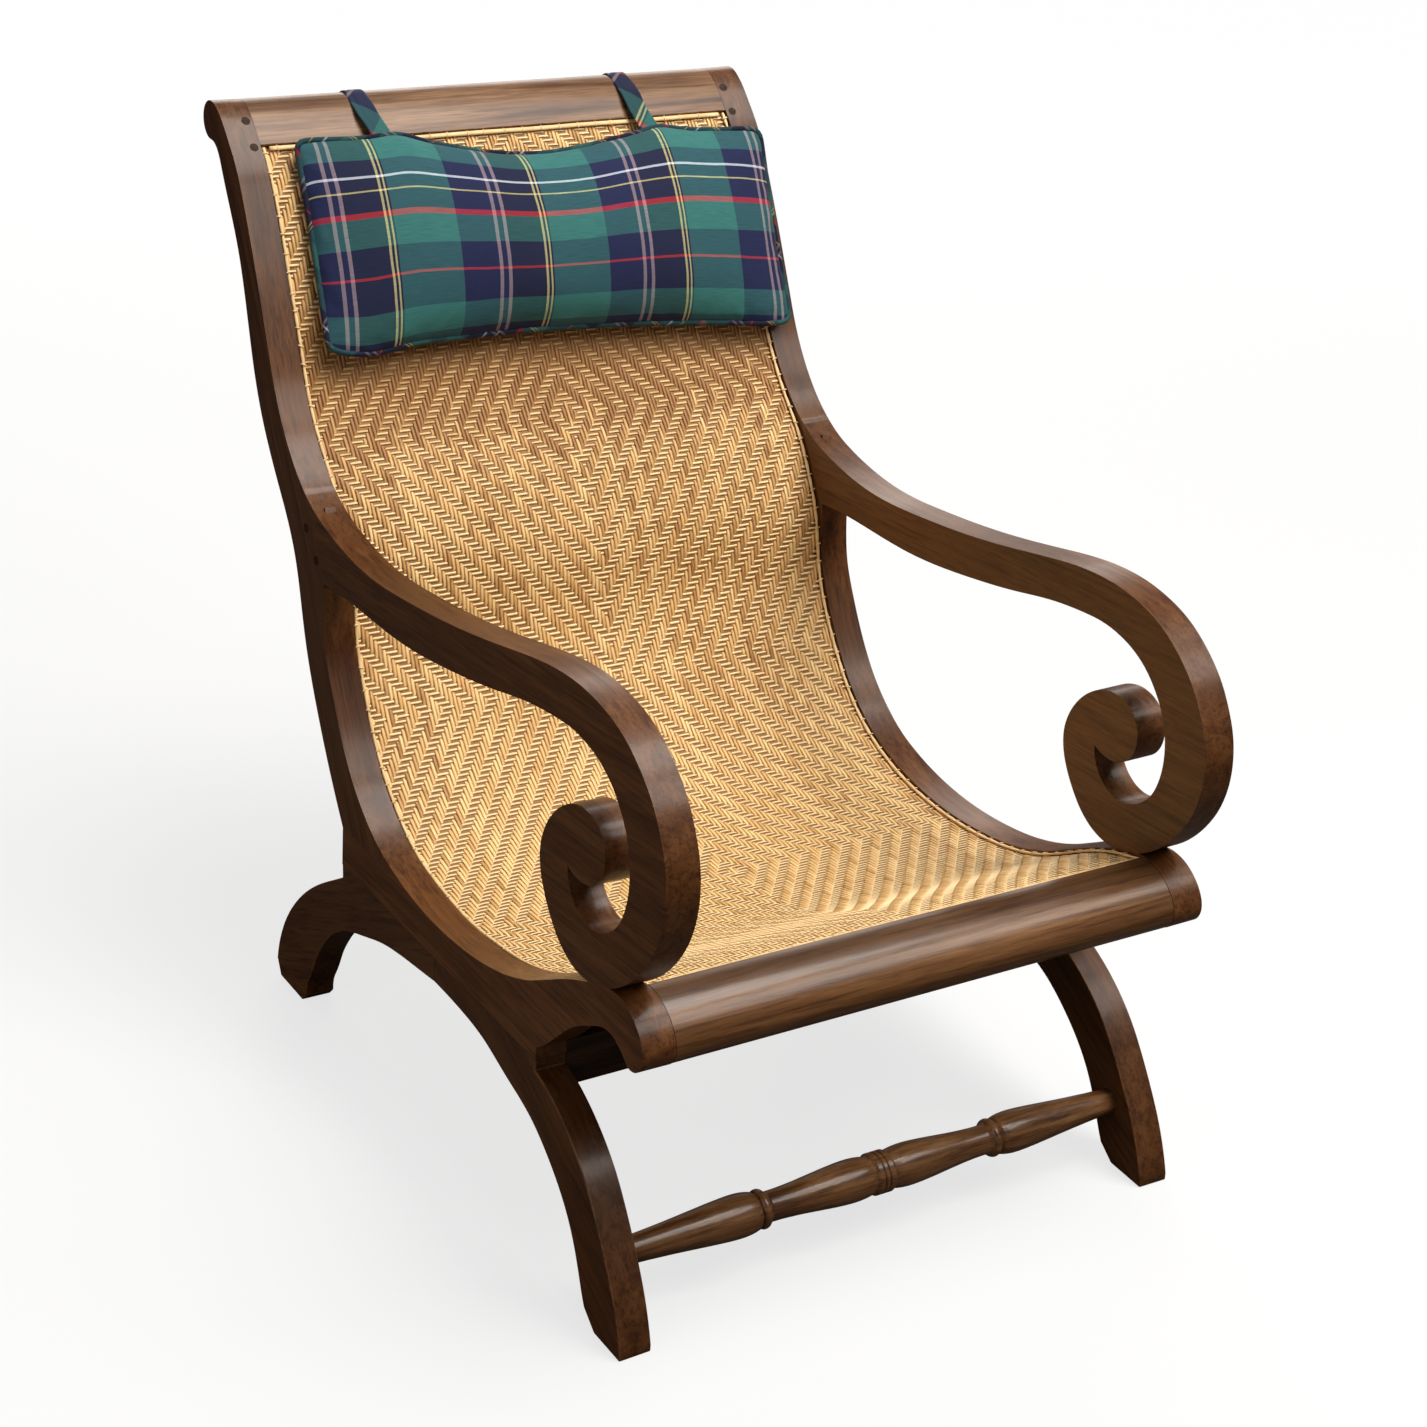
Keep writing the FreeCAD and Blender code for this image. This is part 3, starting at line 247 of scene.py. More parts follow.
def cane(name, light, golden, brown, rough=0.42):
    """Split cane: glossy rind with fine lengthwise fibres; each strand has its own tone."""
    material, surface, coords = shader(name)
    patch = maths("MULTIPLY_ADD", noise_at(coords, 9.0, 4.0, 0.6), 0.55, -0.275)
    blotch = maths("MULTIPLY_ADD", noise_at(coords, 70.0, 3.0, 0.6), 0.5, -0.25)
    fibres = mapped(attribute(coords, "run", "Vector"), Scale=(40.0, 2600.0, 1.0))
    fibre = noise_at(fibres, 1.0, 3.0, 0.65)
    tone = maths("ADD", attribute(coords, "tone"), maths("ADD", blotch, patch), clamp=True)
    colour = ramp(tone, ((0.08, brown), (0.45, golden), (0.85, light)))
    streak = ramp(fibre, ((0.25, (0.72, 0.66, 0.58)), (0.6, 1.0)))
    fill_all(surface, {"Base Color": mixed(0.6, colour, streak, "MULTIPLY"),
                       "Roughness": maths("MULTIPLY_ADD", fibre, 0.25, rough - 0.12),
                       "Specular IOR Level": 0.3, "Normal": bump(fibre, 0.25, 0.0003)})
    return material


NAVY = (0.0090, 0.0130, 0.056)
INK = (0.006, 0.007, 0.022)
GREEN = (0.031, 0.148, 0.136)
WHITE = (0.74, 0.78, 0.86)
YELLOW = (0.66, 0.58, 0.24)
RED = (0.52, 0.025, 0.035)
GREY = (0.36, 0.26, 0.28)
# The check's repeat across and down, in millimetres: its length, and where each colour starts.
ACROSS_REPEAT = (169.5, (
    (0.0, YELLOW), (2.0, INK), (5.0, YELLOW), (7.0, INK), (9.0, GREEN), (76.0, NAVY),
    (116.0, GREY), (120.3, NAVY), (126.0, GREY), (130.3, INK),
))
DOWN_REPEAT = (232.0, (
    (0.0, GREEN), (27.0, NAVY), (45.0, WHITE), (47.4, NAVY), (61.0, YELLOW), (62.7, NAVY),
    (85.0, RED), (91.5, GREEN), (122.0, NAVY), (151.0, RED), (153.4, NAVY), (187.0, GREEN),
    (213.0, NAVY),
))
TWILL_PITCH = 0.9


def yarn(run, repeat, scale):
    """Colour of the yarn at a place along a repeat."""
    period, stripes = repeat
    share = maths("FRACT", maths("DIVIDE", run, period * scale))
    return ramp(share, [(start / period, colour) for start, colour in stripes], constant=True)


def checked(name, across_shift, down_shift, scale=1.0, shade=1.0):
    """Woven check: both yarns show in a fine twill, so crossing bands mix by halves."""
    material, surface, coords = shader(name)
    wander = maths("MULTIPLY_ADD", noise_at(coords, 16.0, 2.0, 0.5), 3.0, -1.5)
    place = attribute(coords, "cloth", "Vector")
    split = node(coords, "ShaderNodeSeparateXYZ", Vector=place).outputs
    across = maths("ADD", split[0], maths("ADD", wander, across_shift))
    down = maths("ADD", split[1], maths("ADD", wander, down_shift))
    ribs = maths("FRACT", maths("DIVIDE", maths("ADD", across, down), TWILL_PITCH))
    twill = ramp(ribs, ((0.0, 0.28), (0.5, 0.72), (1.0, 0.28)))
    colour = mixed(twill, yarn(across, ACROSS_REPEAT, scale), yarn(down, DOWN_REPEAT, scale))
    slub = node(coords, "ShaderNodeCombineXYZ", X=maths("MULTIPLY", across, 0.05),
                Y=maths("MULTIPLY", down, 1.6)).outputs[0]
    fade = ramp(noise_at(slub, 1.0, 3.0, 0.6), ((0.28, 0.70 * shade), (0.72, 1.22 * shade)))
    fill_all(surface, {"Base Color": mixed(1.0, colour, fade, "MULTIPLY"),
                       "Roughness": 0.82, "Specular IOR Level": 0.25,
                       "Sheen Weight": 0.14, "Sheen Roughness": 0.4,
                       "Normal": bump(twill, 0.25, 0.0003)})
    return material


def brass(name):
    """Dull brass of the tack heads."""
    material, surface, coords = shader(name)
    dull = noise_at(coords, 400.0, 3.0, 0.6)
    colour = ramp(dull, ((0.3, (0.30, 0.19, 0.07)), (0.7, (0.66, 0.47, 0.20))))
    fill_all(surface, {"Base Color": colour, "Metallic": 1.0,
                       "Roughness": maths("MULTIPLY_ADD", dull, 0.3, 0.2)})
    return material


# Meshes and pieces.

def add_piece(name, data, *materials):
    """A new object in the scene."""
    for material in materials:
        data.materials.append(material)
    piece = bpy.data.objects.new(name, data)
    bpy.context.collection.objects.link(piece)
    return piece


def add_form(name, form, material):
    """A new smooth object from a bmesh form."""
    mesh = bpy.data.meshes.new(name)
    form.to_mesh(mesh)
    form.free()
    mesh.shade_smooth()
    return add_piece(name, mesh, material)


def dress(piece, body, slot, *nodes):
    """The piece stands for CAD nodes and rides on their body; slot is not used."""
    if nodes:
        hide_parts(*nodes)
    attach(piece, body)


def give(name, material):
    """A CAD node keeps its mesh and gets a better material."""
    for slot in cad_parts[name].material_slots:
        slot.material = material


def smoothed(points, passes, fixed=()):
    """A ring of points drawn toward their neighbours, apart from those at the fixed places."""
    count = len(points)
    for _ in range(passes):
        points = [point if k in fixed else (points[k - 1] + point * 2 + points[(k + 1) % count]) / 4
                  for k, point in enumerate(points)]
    return points


def skin(form, rings, closed=False):
    """Faces between rings of vertices, which are closed into a loop or capped at both ends."""
    for ring, after in zip(rings, rings[1:] + rings[:1] if closed else rings[1:]):
        count = len(ring)
        for k in range(count):
            other = (k + 1) % count
            form.faces.new((ring[k], ring[other], after[other], after[k]))
    if not closed:
        form.faces.new(rings[0][::-1])
        form.faces.new(rings[-1])
    bmesh.ops.recalc_face_normals(form, faces=form.faces)


# Wood: tones from dark to light.

DARK_TONES = ((0.062, 0.0195, 0.0050), (0.098, 0.034, 0.0090), (0.138, 0.052, 0.0155))
RAIL_TONES = ((0.076, 0.029, 0.0085), (0.135, 0.056, 0.0180), (0.205, 0.094, 0.034))
# The top rail's tones are painted lighter than the side boards', as teak in full light.
PAINTED_LIGHT_TONES = ((0.068, 0.028, 0.011), (0.160, 0.076, 0.033), (0.25, 0.134, 0.066))
TURNED_TONES = ((0.075, 0.028, 0.0095), (0.175, 0.076, 0.027), (0.28, 0.140, 0.058))
UNDER_TONES = ((0.018, 0.008, 0.005), (0.035, 0.016, 0.009), (0.06, 0.028, 0.015))
DOWEL_TONES = ((0.2, 0.1, 0.05), (0.3, 0.17, 0.09), (0.4, 0.25, 0.14))
PEG_TONES = ((0.016, 0.006, 0.0025), (0.050, 0.020, 0.008))
# Each board's grain direction, and how light its timber is.
BOARDS = {
    "back_stile": ((0.0, 0.52, 0.85), 0.97),
    "seat_rail": ((0.0, 1.0, 0.0), 1.22),
    "front_leg": ((0.0, 0.905, 0.426), 0.84),
    "rear_leg": ((0.0, 0.914, -0.405), 0.84),
    "arm": ((0.0, 1.0, -0.06), 1.0),
}
ACROSS_CHAIR = (1.0, 0.0, 0.0)
ALONG_CHAIR = (0.0, 1.0, 0.0)
EASED_WIDTH = 1.3
JOINT_WIDTH = 0.7
JOINT_REACH = 0.45
SHORTEST_EDGE = 0.3
WELD = 0.002
SECTION_WELD = 0.02
SHARP_ANGLE = radians(32)
FLAT_ANGLE = radians(0.2)
RAIL_RISE = 12.0


def board_surfaces():
    """Search trees over the frame's boards, to find where two of them meet."""
    boards = ["%s_%s" % (side, board) for side in ("left", "right") for board in BOARDS]
    trees = {}
    for name in boards + ["front_rail", "top_rail"]:
        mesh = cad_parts[name].data
        trees[name] = BVHTree.FromPolygons([vertex.co for vertex in mesh.vertices],
                                           [tuple(face.vertices) for face in mesh.polygons])
    return trees


def at_joint(edge, others):
    """Whether an edge lies along a neighbouring board."""
    first, second = (vertex.co for vertex in edge.verts)
    for share in (0.15, 0.5, 0.85):
        place = first.lerp(second, share)
        if not any(tree.find_nearest(place, JOINT_REACH * MM)[0] for tree in others):
            return False
    return True


def sharp_edges(form, others, joints):
    """The board's sharp edges, either those at its joints or all the rest."""
    found = []
    for edge in form.edges:
        if len(edge.link_faces) != 2 or edge.calc_length() < SHORTEST_EDGE * MM:
            continue
        if edge.calc_face_angle() > SHARP_ANGLE and at_joint(edge, others) == joints:
            found.append(edge)
    return found


def section(source):
    """The rail's outline half way along, as a ring of (y, z) points with its curves smoothed."""
    form = bmesh.new()
    form.from_mesh(source)
    bmesh.ops.bisect_plane(form, geom=form.verts[:] + form.edges[:] + form.faces[:],
                           plane_co=(0, 0, 0), plane_no=(1, 0, 0), clear_inner=True, clear_outer=True)
    bmesh.ops.remove_doubles(form, verts=form.verts, dist=SECTION_WELD * MM)
    form.verts.ensure_lookup_table()
    ring = [form.verts[0]]
    while True:
        ways = [edge.other_vert(ring[-1]) for edge in ring[-1].link_edges]
        ways = [vertex for vertex in ways if vertex not in ring]
        if not ways:
            break
        ring.append(ways[0])
    points = [Vector((vertex.co.y, vertex.co.z)) for vertex in ring]
    form.free()
    count = len(points)
    corners = []
    for k in range(count):
        bend = (points[k] - points[k - 1]).angle(points[(k + 1) % count] - points[k])
        if bend >= SHARP_ANGLE / 2:
            corners.append(k)
    return smoothed(points, 3, corners)


def evened(source):
    """A long rail rebuilt between its shoulders with strips that run straight along it."""
    outline = section(source)
    form = bmesh.new()
    rings = []
    for sign in (-1, 1):
        shoulder = min((face for face in source.polygons if face.normal.x * sign > 0.9),
                       key=lambda face: abs(face.center.x))
        way, centre = shoulder.normal, shoulder.center
        ring = []
        for y, z in outline:
            x = centre.x - (way.y * (y - centre.y) + way.z * (z - centre.z)) / way.x
            ring.append(form.verts.new((x, y, z)))
        rings.append(ring)
    skin(form, rings)
    return form


def eased(name, material, surfaces, even=False):
    """A CAD board with its edges eased; rubbed edges and joint lines are marked for the shader."""
    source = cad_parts[name].data
    others = [tree for other, tree in surfaces.items() if other != name]
    if even:
        form = evened(source)
    else:
        form = bmesh.new()
        form.from_mesh(source)
    worn = form.faces.layers.float.new("worn")
    bmesh.ops.remove_doubles(form, verts=form.verts, dist=WELD * MM)
    bmesh.ops.dissolve_limit(form, angle_limit=FLAT_ANGLE, verts=form.verts, edges=form.edges)
    for joints, width, segments, mark in ((False, EASED_WIDTH, 2, 1.0), (True, JOINT_WIDTH, 1, -1.0)):
        made = bmesh.ops.bevel(form, geom=sharp_edges(form, others, joints), offset=width * MM,
                               segments=segments, profile=0.5, affect="EDGES", clamp_overlap=True,
                               offset_type="OFFSET")
        for face in made["faces"]:
            face[worn] = mark
    piece = add_form(name + "_eased", form, material)
    flat = piece.modifiers.new("flat faces", "WEIGHTED_NORMAL")
    flat.keep_sharp = True
    flat.weight = 60
    dress(piece, "chair", "dark_teak", name)


def deeper_rail(name, material):
    """The cross rail under the seat reaches higher, so that no light shows over it."""
    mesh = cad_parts[name].data.copy()
    top = max(vertex.co.z for vertex in mesh.vertices)
    for vertex in mesh.vertices:
        if top - vertex.co.z < 1.0 * MM:
            vertex.co.z += RAIL_RISE * MM
    mesh.materials.clear()
    dress(add_piece(name + "_deeper", mesh, material), "chair", "under_frame_wood", name)


def make_wood():
    surfaces = board_surfaces()
    for seed, side in enumerate(("left", "right")):
        for turn, (board, (way, shade)) in enumerate(BOARDS.items()):
            name = "%s_%s" % (side, board)
            tones = [tuple(channel * shade for channel in tone) for tone in DARK_TONES]
            eased(name, teak(name + "_teak", way, tones, seed * 7 + turn + 1), surfaces)
    # The front rail's last number is the share of painted shade on its upward faces.
    rail = teak("front_rail_teak", ACROSS_CHAIR, RAIL_TONES, 21, 0.3, 0.3, 0.03, 0.5)
    eased("front_rail", rail, surfaces, even=True)
    # The top rail gets the tones of painted light.
    eased("top_rail", teak("top_rail_teak", ACROSS_CHAIR, PAINTED_LIGHT_TONES, 23), surfaces)
    give("front_stretcher", teak("stretcher_teak", ACROSS_CHAIR, TURNED_TONES, 25, 0.3, 0.35, 0.04))
    under = teak("under_frame", ACROSS_CHAIR, UNDER_TONES, 31, 0.6, 0.0)
    deeper_rail("seat_cross_rail", under)
    give("rear_cross_rail", under)
    batten = teak("batten_wood", ALONG_CHAIR, UNDER_TONES, 33, 0.6, 0.0)
    peg = end_grain("peg_wood_end", *PEG_TONES)
    dowel = teak("dowel_teak", ACROSS_CHAIR, DOWEL_TONES, 35, 0.6, 0.0)
    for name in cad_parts:
        if "cane_batten" in name:
            give(name, batten)
        elif "_peg" in name or name.endswith("_plug"):
            give(name, peg)
        elif name.endswith("_dowel"):
            give(name, dowel)


# Cane.

def spline(knots, values):
    """Natural cubic spline through values at knots, as a function of the place."""
    gaps = np.diff(knots)
    slopes = np.diff(values) / gaps
    count = len(knots)
    system = np.eye(count)
    right = np.zeros(count)
    for row in range(1, count - 1):
        system[row, row - 1:row + 2] = gaps[row - 1], 2 * (gaps[row - 1] + gaps[row]), gaps[row]
        right[row] = 6 * (slopes[row] - slopes[row - 1])
    bend = np.linalg.solve(system, right)

    def value(place):
        index = np.clip(np.searchsorted(knots, place) - 1, 0, count - 2)
        gap = gaps[index]
        left, rest = place - knots[index], knots[index + 1] - place
        low, high = bend[index], bend[index + 1]
        return ((low * rest ** 3 + high * left ** 3) / (6 * gap)
                + (values[index] / gap - low * gap / 6) * rest
                + (values[index + 1] / gap - high * gap / 6) * left)
    return value


class Sling:
    """The cane's surface: run (from the top), across and depth below it give a point."""

    def __init__(self):
        drawn = np.array(SITTING_SHARES) * (PROFILE_DEPTH, PROFILE_HEIGHT)
        half, depth, height = EDGE_ORIGIN
        depth = depth + cos(SPREAD) * drawn[:, 0] + sin(LEAN) * sin(SPREAD) * drawn[:, 1]
        height = height + cos(LEAN) * drawn[:, 1]
        half = half + sin(SPREAD) * drawn[:, 0] - sin(LEAN) * drawn[:, 1]
        runs = np.concatenate(([0.0], np.cumsum(np.hypot(np.diff(depth), np.diff(height)))))
        self.length = runs[-1]
        self.y = spline(runs, depth)
        self.z = spline(runs, height)
        self.half = spline(runs, half)

    def points(self, run, across, sink):
        """Points in metres; run, across and sink are arrays in millimetres."""
        step = 0.5
        ahead, behind = np.clip(run + step, 0, self.length), np.clip(run - step, 0, self.length)
        way_y = self.y(ahead) - self.y(behind)
        way_z = self.z(ahead) - self.z(behind)
        size = np.hypot(way_y, way_z)
        y = self.y(run) - way_z / size * sink
        z = self.z(run) + way_y / size * sink
        return np.stack([across, y, z], -1) * MM


# The mat, in millimetres. Warp strands run along the chair and weft strands across it.
WARP_PITCH = 4.17
WEFT_PITCH = 5.42
WARP_WIDTH = 4.3
WEFT_WIDTH = 2.9
WARP_CROWN = 0.50
WEFT_CROWN = 0.42
# Each strand floats over three and dips under three, by WAVE each way.
FLOAT = 3
WAVE = 0.78
# The twill turns at these places down the mat, and along a line beside its middle.
TURN_RUNS = (306.0, 596.0, 878.0)
WEAVE_MIDDLE = 6.5
MAT_MIDDLE = CANE_RECESS + CANE_THICKNESS / 2
SIDE_GAP = 0.4
END_GAP = 0.6
# The sheet of painted shade in the mat's middle: its gap to the mat's edges, half its thickness and its
# grid of faces.
SHADE_SHEET_GAP = 1.5
SHADE_SHEET_HALF = 0.15
SHADE_SHEET_GRID = (180, 48)


def weave_phase(sling):
    """Which crossings have the cross strand on top: a twill that turns at rows and in the middle."""
    half = float(sling.half(0.5 * sling.length))
    columns = int(2 * (half - 1.0) / WARP_PITCH)
    rows = int((sling.length - 4.0) / WEFT_PITCH)
    centre = int(round(columns / 2 + WEAVE_MIDDLE / WARP_PITCH))
    turns = np.searchsorted(TURN_RUNS, np.arange(rows) * WEFT_PITCH)
    climb = np.cumsum(np.where(turns % 2 == 1, 1, -1))
    out = np.abs(np.arange(columns) - centre)[:, None] + climb[None, :]
    return (out % (2 * FLOAT)) < FLOAT


def float_samples(over, pitch, start):
    """Places and heights along a strand from its row of overs and unders."""
    places, heights = [], []
    for group in np.split(np.arange(len(over)), np.flatnonzero(np.diff(over)) + 1):
        level = 1.0 if over[group[0]] else -1.0
        if len(group) > 1:
            first = start + (group[0] - 0.12) * pitch
            last = start + (group[-1] + 0.12) * pitch
            places += [first, (first + last) / 2, last]
            heights += [level * 0.86, level, level * 0.86]
        else:
            places.append(start + group[0] * pitch)
            heights.append(level * 0.8)
    return np.array(places), np.array(heights)


def flat_ring(width, crown):
    """Section of a split strand: (offset, height, place round it) of its corners."""
    half = width / 2
    return ((-half, 0.0, -half), (0.0, crown, 0.0), (half, 0.0, half), (0.0, -crown, 0.0))


def round_ring(radius, sides, flat):
    """Section of a round strand, with its height flattened."""
    turns = [2 * pi * side / sides for side in range(sides)]
    return [(cos(turn) * radius, sin(turn) * radius * flat, sin(turn) * radius)
            for turn in turns]


def strand(along, heights, ring, to_points, tone, slot=0):
    """A closed strip: its points, faces, tones, runs and material slots.

    to_points turns (along, offset across, height) into points.
    """
    points = [to_points(along, side, heights + lift) for side, lift, _ in ring]
    count, sides = len(along), len(ring)
    faces = []
    for base in range(0, (count - 1) * sides, sides):
        for side in range(sides):
            other = (side + 1) % sides
            faces.append((base + side, base + other, base + sides + other, base + sides + side))
    for base, way in ((0, -1), ((count - 1) * sides, 1)):
        cap = [base + side for side in range(sides)][::way]
        faces += [(cap[0], *cap[side:side + 3]) for side in range(1, sides - 1, 2)]
    tones = np.repeat(np.broadcast_to(tone, count), sides)
    places = [place for _, _, place in ring]
    runs = np.stack([np.repeat(along, sides), np.tile(places, count), np.full(count * sides, tones[0])],
                    -1) * MM
    return np.stack(points, 1).reshape(-1, 3), faces, tones, runs, np.full(len(faces), slot)


def build_strips(name, strips, *materials):
    """Many closed strips as one mesh, with tone and run attributes for the shader."""
    starts = np.cumsum([0] + [len(strip[0]) for strip in strips])
    faces = np.concatenate([np.array(strip[1]) + start for strip, start in zip(strips, starts)])
    points, tones, runs, slots = (np.concatenate([strip[k] for strip in strips]) for k in (0, 2, 3, 4))
    mesh = bpy.data.meshes.new(name)
    mesh.vertices.add(len(points))
    mesh.vertices.foreach_set("co", points.ravel())
    mesh.loops.add(faces.size)
    mesh.loops.foreach_set("vertex_index", faces.ravel())
    mesh.polygons.add(len(faces))
    mesh.polygons.foreach_set("loop_start", np.arange(0, faces.size, 4))
    mesh.polygons.foreach_set("material_index", slots)
    mesh.update(calc_edges=True)
    mesh.shade_smooth()
    mesh.attributes.new("tone", "FLOAT", "POINT").data.foreach_set("value", tones)
    mesh.attributes.new("run", "FLOAT_VECTOR", "POINT").data.foreach_set("vector", runs.ravel())
    return add_piece(name, mesh, *materials)


def ripple(run, across):
    """The sheet's gentle unevenness, in millimetres."""
    return 0.25 * (0.35 * np.sin(across / 31.0 + run / 57.0) + 0.25 * np.sin(across / 17.0 - run / 83.0)
                   + 0.2 * np.sin(run / 23.0 + across / 90.0))


def on_mat(sling, run, across, height):
    """Points at a height above the middle of the mat."""
    return sling.points(run, across, MAT_MIDDLE - height - ripple(run, across))


def cane_shade_sheet(sling):
    """A thin closed sheet in the middle of the mat, coloured as painted shade: it shows as the brown
    shade between the strands.
    """
    run_count, across_count = SHADE_SHEET_GRID
    runs = np.linspace(SHADE_SHEET_GAP, sling.length - SHADE_SHEET_GAP, run_count)
    run, share = np.meshgrid(runs, np.linspace(-1, 1, across_count), indexing="ij")
    across = share * (sling.half(run) - SHADE_SHEET_GAP)
    points = np.concatenate([on_mat(sling, run, across, height).reshape(-1, 3)
                             for height in (SHADE_SHEET_HALF, -SHADE_SHEET_HALF)])
    count = across_count * run_count
    grid = np.arange(count).reshape(run_count, across_count)
    a, b = grid[:-1, :-1].ravel(), grid[1:, :-1].ravel()
    top = np.stack([a, a + 1, b + 1, b], 1)
    rim = np.concatenate((grid[0], grid[1:, -1], grid[-1, -2::-1], grid[-2:0:-1, 0]))
    after = np.roll(rim, -1)
    edge = np.stack([after, rim, rim + count, after + count], 1)
    places = np.stack([run, across, 0 * run], -1).reshape(-1, 3) * MM
    faces = np.concatenate((top, top[:, ::-1] + count, edge))
    return points, faces, np.full(2 * count, 0.5), np.tile(places, (2, 1)), np.full(len(faces), 2)


def pillow_shadow_and_browning(run):
    """How much the cane's tone drops: darker just below the head pillow, as browner cane and a painted
    shadow of the pillow; lighter further down, on the seat.
    """
    return 0.60 * np.exp(-((run - 250.0) / 80.0) ** 2) - 0.20 * np.clip((run - 450.0) / 250.0, 0, 1)


def ended(places, heights, first, last):
    """A strand's samples with its two ends, which lie in the middle of the mat."""
    return np.concatenate(([first], places, [last])), np.concatenate(([0.0], heights, [0.0])) * WAVE


def wefts(sling, over, first_run, chance):
    """The strands across the chair."""
    strips = []
    columns, rows = over.shape
    first = -(columns - 1) / 2 * WARP_PITCH
    for row in range(rows):
        run_here = first_run + row * WEFT_PITCH + chance.uniform(-0.25, 0.25)
        half = float(sling.half(run_here)) - SIDE_GAP
        places, heights = float_samples(over[:, row], WARP_PITCH, first)
        fit = half / (abs(first) + WARP_PITCH / 2)
        places, heights = ended(places * fit, heights, -half, half)
        bow = chance.uniform(-0.5, 0.5)
        shift = chance.uniform(0, 6.28)
        base = chance.gauss(0.80, 0.10)
        # The tone takes off the browning and painted shadow below the pillow.
        tone = np.clip(base + 0.05 * np.sin(places / 40.0 + shift) - pillow_shadow_and_browning(run_here), 0, 1)

        def to_points(along, side, height):
            run = run_here + side + bow * np.sin(along / 70.0 + shift)
            return on_mat(sling, np.clip(run, 0.5, sling.length - 0.5), along, height)
        width = WEFT_WIDTH * chance.uniform(0.85, 1.05)
        strips.append(strand(places, heights, flat_ring(width, WEFT_CROWN), to_points, tone, 0))
    return strips


def warps(sling, over, first_run, chance):
    """The strands along the chair, which draw together with it."""
    strips = []
    columns = over.shape[0]
    widest = (columns - 1) / 2 * WARP_PITCH + WARP_PITCH / 2
    for column in range(columns):
        middle = (column - (columns - 1) / 2) * WARP_PITCH
        places, heights = float_samples(~over[column], WEFT_PITCH, first_run)
        places, heights = ended(places, heights, END_GAP, sling.length - END_GAP)
        bow = chance.uniform(-0.3, 0.3)
        shift = chance.uniform(0, 6.28)
        base = chance.gauss(0.42, 0.17)
        # The tone takes off the browning and painted shadow below the pillow.
        tone = np.clip(base + 0.10 * np.sin(places / 120.0 + shift)
                       + 0.06 * np.sin(places / 31.0 + 2 * shift) - pillow_shadow_and_browning(places), 0, 1)

        def to_points(along, side, height):
            fit = (sling.half(along) - SIDE_GAP) / widest
            across = (middle + side + bow * np.sin(along / 60.0 + shift)) * fit
            return on_mat(sling, along, across, height)
        width = WARP_WIDTH * chance.uniform(0.98, 1.05)
        strips.append(strand(places, heights, flat_ring(width, WARP_CROWN), to_points, tone, 1))
    return strips


def make_cane(sling, weft, warp, shade_sheet):
    chance = random.Random(11)
    over = weave_phase(sling)
    first_run = (sling.length - (over.shape[1] - 1) * WEFT_PITCH) / 2
    strips = wefts(sling, over, first_run, chance) + warps(sling, over, first_run, chance)
    # The middle sheet is painted shade: it shows brown between the strands.
    piece = build_strips("cane_weave", strips + [cane_shade_sheet(sling)], weft, warp, shade_sheet)
    dress(piece, "chair", "rattan_weave", "cane_panel")


# The bead along each edge of the mat, and the short ties that bind it down.
BEAD_INSET = 3.4
SIDE_BEAD_RADIUS = 2.0
END_BEAD_RADIUS = 2.6
TWIST_LENGTH = 19.0
TIE_INSET = 3.2
TIE_SINK = 1.5
TIE_HALF = 3.1
TIE_REACH = 3.3
TIE_RISE = 1.6
TIE_RADIUS = 0.8


def tie_sink(along, height):
    """Depth of a tie below the sitting face, as it arches over the bead."""
    arch = TIE_RISE * np.sqrt(np.clip(1 - (along / TIE_REACH) ** 2, 0, 1))
    return CANE_RECESS - TIE_SINK - arch - height


def tie(to_points, chance):
    offsets = np.linspace(-TIE_HALF, TIE_HALF, 9)
    return strand(offsets, 0.0, round_ring(TIE_RADIUS, 6, 0.5), to_points, chance.uniform(0.5, 0.9))


def build_bead(name, strips, material):
    piece = build_strips(name + "_bead_strands", strips, material)
    dress(piece, "chair", "rattan_bead", name + "_edge_bead")


def make_side_beads(sling, material):
    """A strand along each side of the cane, pinched at short steps, with its ties."""
    chance = random.Random(5)
    for side, sign in (("left", -1), ("right", 1)):

        def along_edge(along, offset, height):
            pinch = 0.62 + 0.38 * np.abs(np.sin(along * pi / TWIST_LENGTH)) ** 0.6
            sway = 0.3 * np.sin(along / TWIST_LENGTH)
            across = sign * (sling.half(along) - BEAD_INSET + sway) + offset * pinch
            return sling.points(along, across, CANE_RECESS - 1.2 - height * pinch)
        places = np.arange(2.0, sling.length - 2.0, 2.4)
        strips = [strand(places, 0.0, round_ring(SIDE_BEAD_RADIUS, 8, 0.7), along_edge, 0.72)]
        run = 9.0
        while run < sling.length - 9.0:
            lean = chance.uniform(-1.2, 1.2)

            def to_points(along, offset, height):
                here = run + lean * along / TIE_HALF + offset
                across = sign * (sling.half(here) - TIE_INSET) + along
                return sling.points(here, across, tie_sink(along, height))
            strips.append(tie(to_points, chance))
            run += chance.uniform(17.0, 23.0)
        build_bead(side, strips, material)


